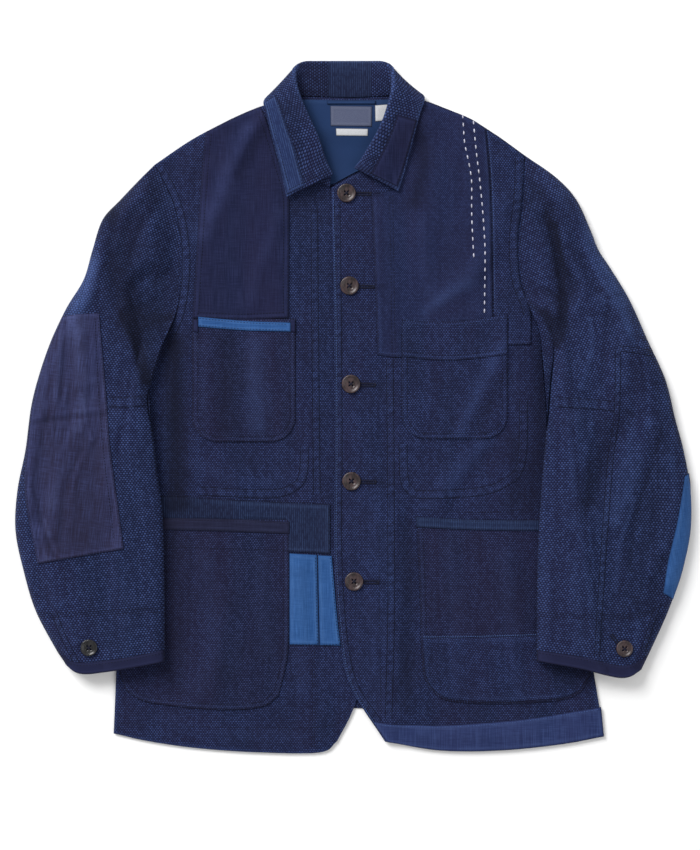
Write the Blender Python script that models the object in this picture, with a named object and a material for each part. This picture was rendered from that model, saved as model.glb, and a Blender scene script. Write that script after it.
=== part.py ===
"""Patched indigo work jacket, laid flat with its front up.

Frame: metres, +Z up from the surface it lies on, +Y towards the collar, +X towards the
wearer's left. The origin is under the middle of the jacket.

Outlines are read from above in plan units, with x to the right and y downwards.
Every panel is a grid of points with a height over the surface. What is sewn on a panel
is the same grid moved out, and trimmed to its own outline.
"""

import math

import bpy
import numpy as np

# Plan units to millimetres
UNIT_MM = 1.08
CENTRE = (353.0, 407.0)

# Cloth walls and the gap at seams, in millimetres
BACK_WALL = 1.5
FRONT_WALL = 1.6
SLEEVE_WALL = 1.6
COLLAR_WALL = 2.2
PATCH_WALL = 1.1
BINDING_WALL = 1.0
GAP = 0.3

# Heights over the surface, in millimetres
FRONT_REST = 1.9
FRONT_LOFT = 1.9
OVERLAP_RISE = 2.3
SLEEVE_ON_BODY = 8.4
SLEEVE_LOFT = 16.2
SLEEVE_RIM = 17.0
PIT_DEPTH = 9.0

# Buttons, in millimetres
BUTTON_RADIUS = 10.0
BUTTON_THICK = 2.6
CUFF_BUTTON_RADIUS = 9.0
THREAD_HOLE_RADIUS = 1.1
THREAD_HOLE_RING = 2.3

# Colours
SASHIKO = (0.105, 0.110, 0.205)
SLUB = (0.115, 0.110, 0.215)
STRIPE = (0.085, 0.105, 0.200)
BRIGHT = (0.060, 0.130, 0.420)
PURPLE = (0.115, 0.080, 0.150)
LINING = (0.110, 0.180, 0.400)
NAVY = (0.045, 0.050, 0.110)
HEM_BLUE = (0.130, 0.190, 0.370)
LABEL = (0.400, 0.460, 0.560)
WHITE = (0.750, 0.760, 0.780)
HORN = (0.120, 0.085, 0.070)
BLACK_HORN = (0.020, 0.020, 0.022)


def clear():
    """Remove everything that the startup scene holds."""
    for thing in list(bpy.data.objects):
        bpy.data.objects.remove(thing, do_unlink=True)


def material(name, colour, roughness=0.9):
    """A plain Principled material."""
    made = bpy.data.materials.new(name)
    made.use_nodes = True
    shader = made.node_tree.nodes["Principled BSDF"]
    shader.inputs["Base Color"].default_value = (*colour, 1.0)
    shader.inputs["Roughness"].default_value = roughness
    shader.inputs["Metallic"].default_value = 0.0
    made.diffuse_color = (*colour, 1.0)
    return made


def plan(points):
    """Plan units to millimetres, with y turned to point at the collar."""
    return (np.asarray(points, float) - CENTRE) * (UNIT_MM, -UNIT_MM)


def smooth(points, per=10):
    """Catmull-Rom line through the points, with `per` steps from each to the next."""
    points = np.asarray(points, float)
    if len(points) < 3:
        return points
    ends = np.vstack([2 * points[0] - points[1], points, 2 * points[-1] - points[-2]])
    t = np.linspace(0, 1, per, endpoint=False)[:, None]
    spans = []
    for a, b, c, d in zip(ends[:-3], ends[1:-2], ends[2:-1], ends[3:]):
        linear = (c - a) * t
        square = (2 * a - 5 * b + 4 * c - d) * t**2
        cube = (3 * b - a - 3 * c + d) * t**3
        spans.append(0.5 * (2 * b + linear + square + cube))
    return np.vstack([*spans, points[-1:]])


def spaced(line, count):
    """The line cut into `count` equal lengths."""
    steps = np.linalg.norm(np.diff(line, axis=0), axis=1)
    along = np.concatenate([[0.0], np.cumsum(steps)])
    at = np.linspace(0, along[-1], count + 1)
    return np.column_stack([np.interp(at, along, line[:, k]) for k in range(line.shape[1])])


def beside(line, gap):
    """A line of points moved sideways, to its right as it runs."""
    ahead = np.gradient(line, axis=0)
    ahead = ahead / np.linalg.norm(ahead, axis=1)[:, None]
    return line + gap * np.column_stack([ahead[:, 1], -ahead[:, 0]])


def refined(line, parts):
    """The same line with each of its lengths cut into equal parts."""
    share = np.arange(parts)[None, :, None] / parts
    cut = line[:-1, None] * (1 - share) + line[1:, None] * share
    return np.vstack([cut.reshape(-1, 2), line[-1:]])


def edge(count, *pieces):
    """Evenly spaced points along smooth plan lines; where two lines meet is a corner."""
    lines = [smooth(plan(piece)) for piece in pieces]
    whole = np.vstack([lines[0]] + [line[1:] for line in lines[1:]])
    points = spaced(whole, count)
    for line in lines[1:]:
        nearest = np.argmin(np.linalg.norm(points - line[0], axis=1))
        points[nearest] = line[0]
    return points


def coons(top, bottom, left, right):
    """Grid filled in between four edges, its rows from top to bottom."""
    v = np.linspace(0, 1, len(left))[:, None, None]
    u = np.linspace(0, 1, len(top))[None, :, None]
    ruled = (1 - v) * top[None] + v * bottom[None]
    ruled = ruled + (1 - u) * left[:, None] + u * right[:, None]
    near = (1 - v) * ((1 - u) * top[0] + u * top[-1])
    far = v * ((1 - u) * bottom[0] + u * bottom[-1])
    return ruled - near - far


def distance(points, line):
    """Shortest distance from each point to a line of points."""
    flat = points.reshape(-1, 2)
    best = np.full(len(flat), np.inf)
    for a, b in zip(line[:-1], line[1:]):
        along = b - a
        share = np.clip((flat - a) @ along / max(along @ along, 1e-9), 0, 1)
        gap = np.linalg.norm(flat - a - share[:, None] * along, axis=1)
        best = np.minimum(best, gap)
    return best.reshape(points.shape[:-1])


def right_of(points, line):
    """Distance from a line that runs down the plan, positive on its +X side."""
    order = np.argsort(line[:, 1])
    x = np.interp(points[..., 1], line[order, 1], line[order, 0])
    return points[..., 0] - x


def ease(value):
    """Soft step from 0 to 1."""
    value = np.clip(value, 0, 1)
    return value * value * (3 - 2 * value)


def folds(points, lines):
    """Soft folds: each is a height and half width in millimetres, and its plan line."""
    total = np.zeros(points.shape[:-1])
    for height, width, line in lines:
        gap = distance(points, smooth(plan(line), 6))
        total += height * np.exp(-((gap / width) ** 2))
    return total


def build(name, points, faces, look, flat=True):
    """A mesh object from points in millimetres."""
    mesh = bpy.data.meshes.new(name)
    mesh.from_pydata((np.asarray(points) * 0.001).tolist(), [], faces)
    mesh.update()
    if not flat:
        mesh.shade_smooth()
        mesh.set_sharp_from_angle(angle=math.radians(50))
    thing = bpy.data.objects.new(name, mesh)
    thing.data.materials.append(look)
    bpy.context.collection.objects.link(thing)
    return thing


def shell(name, under, over, look):
    """One closed cloth wall between two grids of points of the same shape."""
    rows, columns = over.shape[:2]
    index = np.arange(rows * columns).reshape(rows, columns)
    a, b = index[:-1, :-1].ravel(), index[:-1, 1:].ravel()
    c, d = index[1:, 1:].ravel(), index[1:, :-1].ravel()
    up = np.concatenate([np.column_stack([a, d, c]), np.column_stack([a, c, b])])
    down = up[:, ::-1] + rows * columns
    loop = [*index[:-1, 0], *index[-1, :-1], *index[:0:-1, -1], *index[0, :0:-1]]
    ahead = loop[1:] + loop[:1]
    low = rows * columns
    wall = []
    for here, there in zip(loop, ahead):
        wall.append((here, here + low, there + low))
        wall.append((here, there + low, there))
    faces = [*up.tolist(), *down.tolist(), *[tuple(int(i) for i in f) for f in wall]]
    points = np.vstack([over.reshape(-1, 3), under.reshape(-1, 3)])
    return build(name, points, faces, look, flat=False)


def raised(plane, height):
    """Plan grid and height as points."""
    return np.dstack([plane, height])


def wall_over(plane, height, wall):
    """Height of the upper side of a wall, thicker upwards where the cloth is steep."""
    grid = raised(plane, height)
    across = np.gradient(grid, axis=1)
    down = np.gradient(grid, axis=0)
    normal = np.cross(down, across)
    steep = np.abs(normal[..., 2]) / np.linalg.norm(normal, axis=2)
    return height + wall / np.maximum(steep, 0.6)


def between(height):
    """Heights of a grid and of the points halfway, as its triangles hold them."""
    rows, columns = height.shape
    fine = np.empty((2 * rows - 1, 2 * columns - 1))
    fine[::2, ::2] = height
    fine[1::2, ::2] = (height[:-1] + height[1:]) / 2
    fine[::2, 1::2] = (height[:, :-1] + height[:, 1:]) / 2
    fine[1::2, 1::2] = (height[:-1, :-1] + height[1:, 1:]) / 2
    return fine


class Panel:
    """A cloth wall over the plan: its grid, and the heights of its two sides."""

    def __init__(self, name, plane, under, wall, look):
        self.plane = plane
        self.top = wall_over(plane, under, wall)
        self.body = shell(name, raised(plane, under), raised(plane, self.top), look)

    def top_near(self, at, reach=11.0):
        """The highest point of the panel within reach of a point in millimetres."""
        near = np.linalg.norm(self.plane - at, axis=2) < reach
        return self.top[near].max()

    def tilt_at(self, at, reach=26.0):
        """Height and slopes of the plane that lies on the panel about a point."""
        near = np.linalg.norm(self.plane - at, axis=2) < reach
        away = self.plane[near] - at
        table = np.column_stack([away, np.ones(len(away))])
        fit = np.linalg.lstsq(table, self.top[near], rcond=None)[0]
        slopes = np.clip(fit[:2], -0.2, 0.2)
        close = np.linalg.norm(self.plane - at, axis=2) < 0.7 * reach
        left_over = self.top[close] - (self.plane[close] - at) @ slopes
        return left_over.max(), *slopes

    def sewn_on(self, name, outline, look, wall=PATCH_WALL, lift=GAP):
        """A patch on this panel: its grid moved out, trimmed to the plan outline."""
        ring = plan(outline)
        low, high = ring.min(axis=0) - 1.0, ring.max(axis=0) + 1.0
        cells = np.stack([self.plane[:-1, :-1], self.plane[:-1, 1:], self.plane[1:, 1:], self.plane[1:, :-1]])
        touched = (cells.max(axis=0) > low).all(axis=2) & (cells.min(axis=0) < high).all(axis=2)
        rows = np.flatnonzero(touched.any(axis=1))
        columns = np.flatnonzero(touched.any(axis=0))
        i = slice(rows[0], rows[-1] + 2)
        j = slice(columns[0], columns[-1] + 2)
        plane, top = self.plane[i, j], self.top[i, j] + lift
        patch = shell(name, raised(plane, top), raised(plane, top + wall), look)
        trim(patch, ring)
        return patch


def trim(thing, ring):
    """Keep what lies inside a ring of plan points in millimetres."""
    count = len(ring)
    following = np.roll(ring, -1, axis=0)
    turn = (ring[:, 0] * following[:, 1] - ring[:, 1] * following[:, 0]).sum()
    if turn < 0:
        ring = ring[::-1]
    low = np.column_stack([ring, np.full(count, -20.0)])
    high = np.column_stack([ring, np.full(count, 80.0)])
    faces = [tuple(range(count, 2 * count)), tuple(range(count - 1, -1, -1))]
    for here in range(count):
        there = (here + 1) % count
        faces.append((here, there, there + count, here + count))
    cutter = build(thing.name + "_outline", np.vstack([low, high]), faces, thing.active_material)
    cutter.hide_render = True
    cutter.display_type = "WIRE"
    cut = thing.modifiers.new("outline", "BOOLEAN")
    cut.operation = "INTERSECT"
    cut.solver = "EXACT"
    cut.object = cutter


def rounded(left, top, right, bottom, radius, sag=0.0, steps=4):
    """Outline of a pocket in plan units: square at its mouth, round at its foot."""
    ring = [(left, top), ((left + right) / 2, top + sag), (right, top)]
    for centre, start in ((right - radius, 0), (left + radius, 90)):
        for step in range(steps + 1):
            turn = math.radians(start + 90 * step / steps)
            x = centre + radius * math.cos(turn)
            ring.append((x, bottom - radius + radius * math.sin(turn)))
    return ring


# The lines that several panels share, in plan units
SHOULDER_RIGHT = [(155, 165), (192, 140), (230, 120), (250, 111), (262, 106.5), (275, 104), (289, 98)]
SHOULDER_LEFT = [(401, 98), (412, 102.5), (426, 102), (451, 111), (472, 120), (500, 138), (525, 156)]
NECK_RIGHT = [(289, 98), (286, 118), (292, 146), (307, 172), (330.5, 188)]
NECK_LEFT = [(401, 98), (406, 118), (401, 143), (386, 162), (358, 174), (348, 179), (331.5, 188)]
ARMHOLE_RIGHT = [(155, 165), (172, 200), (180, 235), (182, 270), (177, 310), (164, 343)]
ARMHOLE_LEFT = [(525, 156), (522, 200), (517.5, 240), (520, 280), (531, 310), (550, 326)]
SIDE_RIGHT = [(164, 343), (151, 365), (142, 400), (133, 450), (125, 530), (119, 620), (114, 733)]
SIDE_LEFT = [(550, 326), (556, 360), (559, 400), (565, 470), (575, 550), (590, 650), (604, 736)]
INNER_RIGHT = [(164, 343), (155, 372), (149, 400), (154, 436), (158, 473), (163, 512), (165, 578), (165.5, 660)]
INNER_LEFT = [(550, 326), (553, 352), (550, 380), (545, 440), (540, 500), (537, 560), (536, 659)]

RIGHT_FRONT_FOLDS = [
    (3.4, 11, [(262, 116), (235, 160), (205, 235)]),
    (-1.6, 10, [(228, 128), (205, 160), (190, 200)]),
    (2.2, 10, [(280, 215), (262, 262), (250, 305)]),
    (-1.5, 10, [(226, 345), (224, 430)]),
    (2.4, 12, [(252, 345), (256, 425)]),
    (1.8, 10, [(205, 352), (208, 432)]),
    (1.6, 9, [(190, 466), (250, 484), (300, 478)]),
    (2.4, 14, [(205, 560), (215, 640), (200, 690)]),
    (1.6, 12, [(262, 560), (268, 650)]),
    (1.8, 10, [(300, 570), (306, 690)]),
    (1.3, 10, [(160, 722), (240, 735), (300, 738)]),
]

LEFT_FRONT_FOLDS = [
    (2.4, 12, [(505, 205), (480, 262), (440, 300)]),
    (-1.3, 10, [(500, 262), (470, 300)]),
    (1.8, 10, [(420, 215), (428, 290)]),
    (3.0, 10, [(500, 352), (482, 395), (462, 432)]),
    (-1.5, 9, [(488, 372), (476, 420)]),
    (2.4, 11, [(482, 442), (455, 475), (428, 505)]),
    (-1.4, 10, [(502, 432), (470, 480), (450, 512)]),
    (2.2, 12, [(450, 545), (458, 620), (455, 690)]),
    (2.2, 12, [(505, 560), (512, 640), (520, 695)]),
    (-1.4, 9, [(409, 510), (412, 600), (408, 690)]),
    (1.8, 11, [(385, 520), (388, 640)]),
    (1.5, 10, [(420, 735), (500, 733), (560, 728)]),
]

RIGHT_SLEEVE_FOLDS = [
    (3.0, 12, [(128, 190), (104, 245), (88, 300)]),
    (-3.2, 9, [(112, 215), (110, 262), (122, 300)]),
    (4.2, 12, [(88, 262), (78, 318), (88, 380)]),
    (2.8, 10, [(75, 430), (58, 478), (52, 530)]),
    (-3.0, 9, [(48, 420), (38, 470), (40, 520)]),
    (2.4, 10, [(118, 415), (110, 450), (112, 490)]),
    (2.0, 9, [(50, 560), (60, 600), (76, 640)]),
    (-2.2, 8, [(38, 580), (52, 618)]),
    (2.0, 10, [(118, 545), (128, 600), (130, 650)]),
]

LEFT_SLEEVE_FOLDS = [
    (3.0, 12, [(560, 190), (588, 245), (606, 300)]),
    (-3.2, 9, [(575, 205), (580, 250), (596, 290)]),
    (3.6, 12, [(622, 262), (628, 320), (622, 380)]),
    (-3.6, 11, [(628, 415), (608, 455), (592, 500)]),
    (3.2, 11, [(650, 425), (636, 470), (616, 520)]),
    (2.6, 10, [(668, 460), (668, 520), (650, 570)]),
    (2.2, 10, [(575, 420), (572, 470), (570, 520)]),
    (-2.2, 8, [(660, 560), (650, 610)]),
    (2.0, 10, [(570, 560), (575, 610), (580, 650)]),
]


def neck_rise(plane):
    """How far the back and the fronts lift over the collar's fall."""
    fall = plan([(286, 116), (286, 96), (414, 96), (414, 116)])
    inside = (plane[..., 0] > fall[0, 0]) & (plane[..., 0] < fall[2, 0])
    inside = inside & (plane[..., 1] > fall[0, 1])
    gap = np.where(inside, 0.0, distance(plane, np.vstack([fall, fall[:1]])))
    return 2.8 * (1 - ease((gap - 10.0) / 26.0))


def armhole(points):
    """The seam line that the body and the sleeve share."""
    return spaced(smooth(plan(points)), 8)


def body_side(count, seam, side):
    """The outer edge of a body panel: its armhole, then its side."""
    return np.vstack([armhole(seam), edge(count - 8, side)[1:]])


RIGHT_OUTER = [(155, 165), (140, 180), (121, 200), (103, 220), (93, 250), (84, 280), (66, 310), (48, 350),
               (33, 400), (26, 450), (18, 490), (16, 530), (24, 570), (36, 610), (56, 648), (66, 663)]
LEFT_OUTER = [(525, 156), (556, 178), (576, 200), (590, 230), (598, 250), (611, 270), (629, 300), (647, 340),
              (665, 380), (675, 420), (683, 450), (690, 490), (690, 530), (682, 570), (668, 610), (651, 648), (641, 668)]


def back_panel(look):
    """The back lies on the surface and rises a little over the collar's fall."""
    neck = [(289, 98), (300, 97.2), (353, 98.6), (394, 96.8), (401, 98)]
    top = edge(24, SHOULDER_RIGHT, neck, SHOULDER_LEFT)
    bottom = edge(24, [(114, 733), (200, 716), (353, 708), (500, 716), (604, 736)])
    left = body_side(16, ARMHOLE_RIGHT, SIDE_RIGHT)
    right = body_side(16, ARMHOLE_LEFT, SIDE_LEFT)
    plane = coons(top, bottom, left, right)
    return Panel("back", plane, neck_rise(plane), BACK_WALL, look)


def front_loft(plane, side_gap):
    """How far a front lifts off the back, away from its side and hem."""
    hem = plan([(60, 745), (650, 745)])
    return FRONT_LOFT * ease((side_gap - 4) / 28) * ease((distance(plane, hem) - 14) / 40)


def front_right(look):
    """The wearer's right front, whose edge lies under the left front."""
    top = edge(13, SHOULDER_RIGHT)
    bottom = edge(13, [(114, 733), (150, 741), (200, 748), (260, 752), (320, 752), (337, 741)])
    left = body_side(24, ARMHOLE_RIGHT, SIDE_RIGHT)
    hidden = [(330.5, 188), (372, 194)]
    front = [(372, 194), (376, 350), (378, 500), (372, 620), (362, 680), (352, 712), (337, 741)]
    right = edge(24, NECK_RIGHT, hidden, front)
    plane = coons(top, bottom, left, right)
    side_gap = right_of(plane, plan(INNER_RIGHT))
    clear_of_lap = 1 - ease((plane[..., 0] - plan((296, 0))[0]) / 26)
    shoulder = distance(plane, plan(SHOULDER_RIGHT))
    free = clear_of_lap * ease(shoulder / 22) * ease((side_gap + 6) / 24)
    rise = front_loft(plane, side_gap) + folds(plane, RIGHT_FRONT_FOLDS)
    rest = FRONT_REST + 1.2 * neck_rise(plane)
    return Panel("front_right", plane, rest + np.maximum(free * rise, 0), FRONT_WALL, look)


def front_left(look):
    """The wearer's left front, which laps over the right one."""
    top = edge(13, SHOULDER_LEFT)
    bottom = edge(13, [(385, 741), (440, 750), (500, 750), (560, 744), (604, 736)])
    right = body_side(24, ARMHOLE_LEFT, SIDE_LEFT)
    front = [(331.5, 188), (334, 320), (335, 450), (334, 550), (340, 635), (350, 685), (385, 741)]
    left = edge(24, NECK_LEFT, front)
    plane = coons(top, bottom, left, right)
    side_gap = -right_of(plane, plan(INNER_LEFT))
    past_lap = ease((plane[..., 0] - plan((384, 0))[0]) / 28)
    shoulder = distance(plane, plan(SHOULDER_LEFT))
    free = past_lap * ease(shoulder / 22) * ease((side_gap + 6) / 24)
    rise = front_loft(plane, side_gap) + folds(plane, LEFT_FRONT_FOLDS)
    lap = OVERLAP_RISE * (1 - past_lap) * ease((distance(plane, plan([(401, 97), (406, 118)])) - 5) / 60)
    rest = FRONT_REST + lap + 1.2 * neck_rise(plane)
    return Panel("front_left", plane, rest + np.maximum(free * rise, 0), FRONT_WALL, look)


def sleeve(side, seam, outer, inner, cuff, crease, pit, beyond, ridges, looks):
    """Two walls: the under one drapes over the body's side, the upper one is full."""
    sign = -1.0 if side == "right" else 1.0
    along = 24
    seam = beside(refined(armhole(seam), 2), -sign * GAP)
    mouth = edge(len(seam) - 1, cuff)
    outside = edge(along, outer)
    outside[0] = seam[0]
    inside = edge(along, inner)
    inside[0] = seam[-1]
    if side == "right":
        plane = coons(seam, mouth, outside, inside)
    else:
        plane = coons(seam[::-1], mouth[::-1], inside, outside)
    body = plan(beyond)
    off_body = sign * right_of(plane, smooth(body))
    above = ease((plane[..., 1] - body[0, 1] - 8) / 30)
    on_body = (1 - ease((off_body - 3) / 24)) * (1 - above)
    under = np.maximum(SLEEVE_ON_BODY * on_body, 0)
    rim = np.minimum(distance(plane, outside), distance(plane, inside))
    hole = distance(plane, seam)
    swell = np.sqrt(np.clip(1 - (1 - np.clip(rim / SLEEVE_RIM, 0, 1)) ** 2, 0, 1))
    at_seam = ease((hole - 2) / 30)
    inboard = -sign * right_of(plane, smooth(plan(crease)))
    sunk = ease((inboard + 6) / 15) * (1 - ease((distance(plane, smooth(plan(pit))) - 24) / 22))
    loft = SLEEVE_LOFT * swell - PIT_DEPTH * sunk * swell
    loft = loft + folds(plane, ridges) * ease((rim - 5) / 14)
    loft = FRONT_REST + (loft - FRONT_REST) * at_seam
    lower = Panel("sleeve_under_" + side, plane[::2, ::2], under[::2, ::2], SLEEVE_WALL, looks[0])
    height = np.maximum(loft, 0)
    base = between(lower.top) + GAP + 0.2
    over = np.maximum(base + height * 0.55, height)
    over = np.where(rim < 0.01, base, np.maximum(over, base))
    upper = Panel("sleeve_upper_" + side, plane, over, SLEEVE_WALL, looks[1])
    return lower, upper


# Collar stations from the wearer's right front end, over the back of the neck, to the left
# one: neck seam, roll line and fall edge as plan x, plan y and height in millimetres, and
# the turn of the fall about the roll: 0 on top of the stand, 90 beside it, 180 under it.
# A height of None rests on the front.
COLLAR = [
    ((330, 188, None), (331, 176.5, 9.5), (287, 198, None), 0),
    ((318, 181, None), (324, 162, 12.5), (283.5, 182, None), 0),
    ((306, 170, None), (317, 141, 15.5), (276, 152, None), 0),
    ((296, 152, None), (307, 119, 17.5), (269.5, 128, None), 0),
    ((291, 128, None), (299, 100, 17.5), (266.5, 113, None), 12),
    ((289, 111, None), (295, 86, 15.0), (264, 105, 10.0), 45),
    ((291, 97, 5.6), (294.5, 74, 10.5), (265.5, 100, 5.0), 90),
    ((297, 96, 4.6), (298, 67.5, 6.6), (271, 101, 1.8), 140),
    ((306, 96.4, 3.8), (305, 64.5, 3.5), (285, 107, 1.15), 180),
    ((317, 96.8, 3.8), (316.5, 64.3, 3.4), (306, 110, 1.15), 180),
    ((328, 97.2, 3.8), (328, 64.3, 3.4), (328, 111, 1.15), 180),
    ((350, 97.6, 3.8), (350, 64.3, 3.4), (350, 111, 1.15), 180),
    ((371, 96.9, 3.8), (371, 64.3, 3.4), (371, 111, 1.15), 180),
    ((388, 96.0, 3.8), (383, 64.5, 3.5), (402, 107, 1.15), 180),
    ((393, 95.4, 4.6), (390.5, 68, 6.6), (417, 99.5, 1.8), 140),
    ((399, 97, 5.6), (392.5, 76, 10.5), (423.5, 96.8, 5.0), 90),
    ((402.5, 109, None), (393.5, 90, 15.0), (424, 103, 11.0), 45),
    ((404, 124, None), (390, 107, 17.5), (420, 114, None), 12),
    ((402, 141, None), (382.5, 128, 17.5), (413.5, 138, None), 0),
    ((394, 155, None), (370.5, 150, 15.5), (406.5, 165, None), 0),
    ((381, 167, None), (361.5, 164, 12.5), (401.5, 182, None), 0),
    ((364, 173.5, None), (356.5, 170, 9.5), (398, 192, None), 0),
]
COLLAR_STEPS = 2
ROLL_RADIUS = 2.1


def collar_sections(right, left):
    """The collar's middle surface: one row for each step along the neck."""
    rows = []
    for k, (neck, roll, fall, turn) in enumerate(COLLAR):
        front = right if k < len(COLLAR) / 2 else left
        marks = []
        for x, y, height in (neck, roll, fall):
            at = plan([(x, y)])[0]
            if height is None:
                height = front.top_near(at, 24.0) + 2.0
            marks.append((*at, height))
        if fall[2] is None:
            marks[2] = (*marks[2][:2], marks[2][2] + PATCH_WALL + 0.7)
        outward = -1.0 if front is right else 1.0
        turn = math.radians(turn)
        lean = (outward * math.sin(turn), 0.0, math.cos(turn))
        rows.append(np.array([*marks, lean]))
    rows = np.array(rows)
    whole = smooth(rows.reshape(len(rows), -1), COLLAR_STEPS).reshape(-1, 4, 3)
    neck, roll, fall, lean = whole[:, 0], whole[:, 1], whole[:, 2], whole[:, 3]
    lean = lean / np.linalg.norm(lean, axis=1)[:, None]
    inward = roll - (neck + fall) / 2
    inward = inward - (inward * lean).sum(axis=1)[:, None] * lean
    inward = inward / np.linalg.norm(inward, axis=1)[:, None]
    stand_top = roll - ROLL_RADIUS * lean
    fall_top = roll + ROLL_RADIUS * lean
    columns = [neck, (neck + stand_top) / 2, stand_top]
    for turn in (-30, 30):
        turn = math.radians(turn)
        columns.append(roll + ROLL_RADIUS * (math.sin(turn) * lean + math.cos(turn) * inward))
    columns.append(fall_top)
    for share in (0.3, 0.68):
        swell = 1.6 * math.sin(math.pi * share) * np.clip(lean[:, 2:], 0, 1)
        columns.append((1 - share) * fall_top + share * fall + swell * lean)
    columns.append(fall)
    return np.stack(columns, axis=1)


def both_sides(middle, wall):
    """The two sides of a wall whose middle is a grid of points."""
    normal = np.cross(np.gradient(middle, axis=0), np.gradient(middle, axis=1))
    normal = normal / np.linalg.norm(normal, axis=2)[..., None]
    return middle + normal * wall / 2, middle - normal * wall / 2


def collar(right, left, looks):
    """Stand and fall in one bent strip, cut at its two patch seams."""
    middle = collar_sections(right, left)
    outer, inner = both_sides(middle, COLLAR_WALL)
    cuts = [0, 10 * COLLAR_STEPS, 12 * COLLAR_STEPS, len(middle) - 1]
    names = ("collar_right", "collar_back", "collar_left")
    for name, start, end, look in zip(names, cuts, cuts[1:], looks):
        a, b = outer[start : end + 1].copy(), inner[start : end + 1].copy()
        if start:
            a[0, :, 0] += GAP
            b[0, :, 0] += GAP
        shell(name, b, a, look)
    patch = slice(17 * COLLAR_STEPS, 21 * COLLAR_STEPS)
    normal = (outer - inner) / COLLAR_WALL
    low = (outer + normal * GAP)[patch, 6:8]
    high = (outer + normal * (GAP + 0.8))[patch, 6:8]
    shell("collar_patch_left", low, high, looks[3])


def lathe(profile, sides):
    """Points and faces of a profile of (radius, height) turned about Z."""
    points = []
    for step in range(sides):
        turn = 2 * math.pi * step / sides
        for radius, height in profile[1:-1]:
            points.append((radius * math.cos(turn), radius * math.sin(turn), height))
    count = len(profile) - 2
    low, high = len(points), len(points) + 1
    points += [(0, 0, profile[0][1]), (0, 0, profile[-1][1])]
    faces = []
    for step in range(sides):
        here, there = step * count, (step + 1) % sides * count
        faces.append((low, there, here))
        faces.append((high, here + count - 1, there + count - 1))
        for k in range(count - 1):
            faces.append((here + k, there + k, there + k + 1, here + k + 1))
    return points, faces


def button(name, panel, at, radius, look):
    """A four-hole button with a raised rim, lying on its panel."""
    at = plan([at])[0]
    height, slope_x, slope_y = panel.tilt_at(at)
    thick = BUTTON_THICK
    profile = [
        (0, 0),
        (0.92 * radius, 0),
        (radius, 0.5 * thick),
        (0.9 * radius, thick),
        (0.68 * radius, 0.62 * thick),
        (0, 0.62 * thick),
    ]
    points, faces = lathe(profile, 14)
    made = build(name, points, faces, look, flat=False)
    for k in range(4):
        turn = math.radians(45 + 90 * k)
        hole = [(0, -2), (THREAD_HOLE_RADIUS, -2), (THREAD_HOLE_RADIUS, 6), (0, 6)]
        points, faces = lathe(hole, 6)
        shift = THREAD_HOLE_RING * np.array([math.cos(turn), math.sin(turn), 0])
        drill = build(f"{name}_hole_{k}", np.array(points) + shift, faces, look)
        drill.hide_render = True
        drill.display_type = "WIRE"
        drill.parent = made
        cut = made.modifiers.new(f"hole_{k}", "BOOLEAN")
        cut.operation = "DIFFERENCE"
        cut.solver = "EXACT"
        cut.object = drill
    made.rotation_euler = (math.atan(slope_y), -math.atan(slope_x), 0)
    made.location = (at[0] * 0.001, at[1] * 0.001, (height + GAP) * 0.001)
    return made


def neck_inside(back, looks):
    """Facing, hanger loop and three bare labels on the inside of the back."""
    lining, label, white = looks
    edge_line = [(291.5, 100), (300, 99.4), (353, 100.8), (394, 99), (399, 100)]
    left_side = [(403, 118), (398.5, 142), (384, 160), (357, 171.5), (333, 183.5)]
    right_side = [(331, 185), (309, 169.5), (294.5, 145), (288.8, 118)]
    back.sewn_on("back_facing", edge_line + left_side + right_side, lining, wall=0.9)
    lift = GAP + 0.9 + GAP
    loop = [(326, 101.5), (377, 101.5), (371, 105), (333, 105)]
    back.sewn_on("hanger_loop", loop, lining, wall=1.2, lift=lift)
    main_label = [(330.5, 106.5), (372, 106.5), (372, 126.5), (330.5, 126.5)]
    back.sewn_on("label_main", main_label, label, wall=0.6, lift=lift)
    small = [(336, 129), (368, 129), (368, 136), (336, 136)]
    back.sewn_on("label_small", small, white, wall=0.5, lift=lift)
    size = [(375, 106), (389, 106), (387, 121), (375, 122.5)]
    back.sewn_on("label_size", size, white, wall=0.5, lift=lift)


def right_patches(front, looks):
    """What is sewn on the wearer's right front."""
    sashiko, slub, stripe, bright, purple = looks
    on_pocket = GAP + PATCH_WALL + GAP
    front.sewn_on(
        "shoulder_patch_right",
        [(206, 105), (202.5, 170), (197, 250), (193, 318.3), (289, 318.3), (289.5, 200),
         (284, 186), (276, 152), (270, 128), (266, 112), (262, 95)],
        slub,
    )
    front.sewn_on("chest_pocket_right", rounded(192, 319, 296, 442, 26), sashiko)
    binding = [(194, 316.5), (245, 321), (295, 323.5), (295, 332), (245, 330), (194, 326)]
    front.sewn_on("chest_binding_right", binding, bright, BINDING_WALL, on_pocket)
    band = [(170, 496.5), (250, 501), (330.5, 504.5), (330.5, 554), (290, 551.5), (290, 516.5), (170, 516.5)]
    front.sewn_on("striped_band_right", band, stripe)
    patch = [(290, 552.5), (317.6, 554.6), (319.4, 644.8), (290, 644.2)]
    front.sewn_on("blue_patch_right", patch, bright)
    column = [(318.3, 554.8), (331, 555.6), (337, 612), (340.5, 645.5), (320.1, 645)]
    front.sewn_on("blue_column_right", column, bright)
    pocket = [(110, 517.5), (289, 517.5), (289, 640), (285, 675), (279, 692), (265, 703),
              (220, 709), (150, 702), (129, 690), (122, 675), (116, 640)]
    front.sewn_on("lower_pocket_right", pocket, sashiko)
    mouth = [(122, 515), (220, 518), (289.5, 521), (289.5, 533), (220, 531), (122, 528)]
    front.sewn_on("lower_binding_right", mouth, purple, BINDING_WALL, on_pocket)


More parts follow.
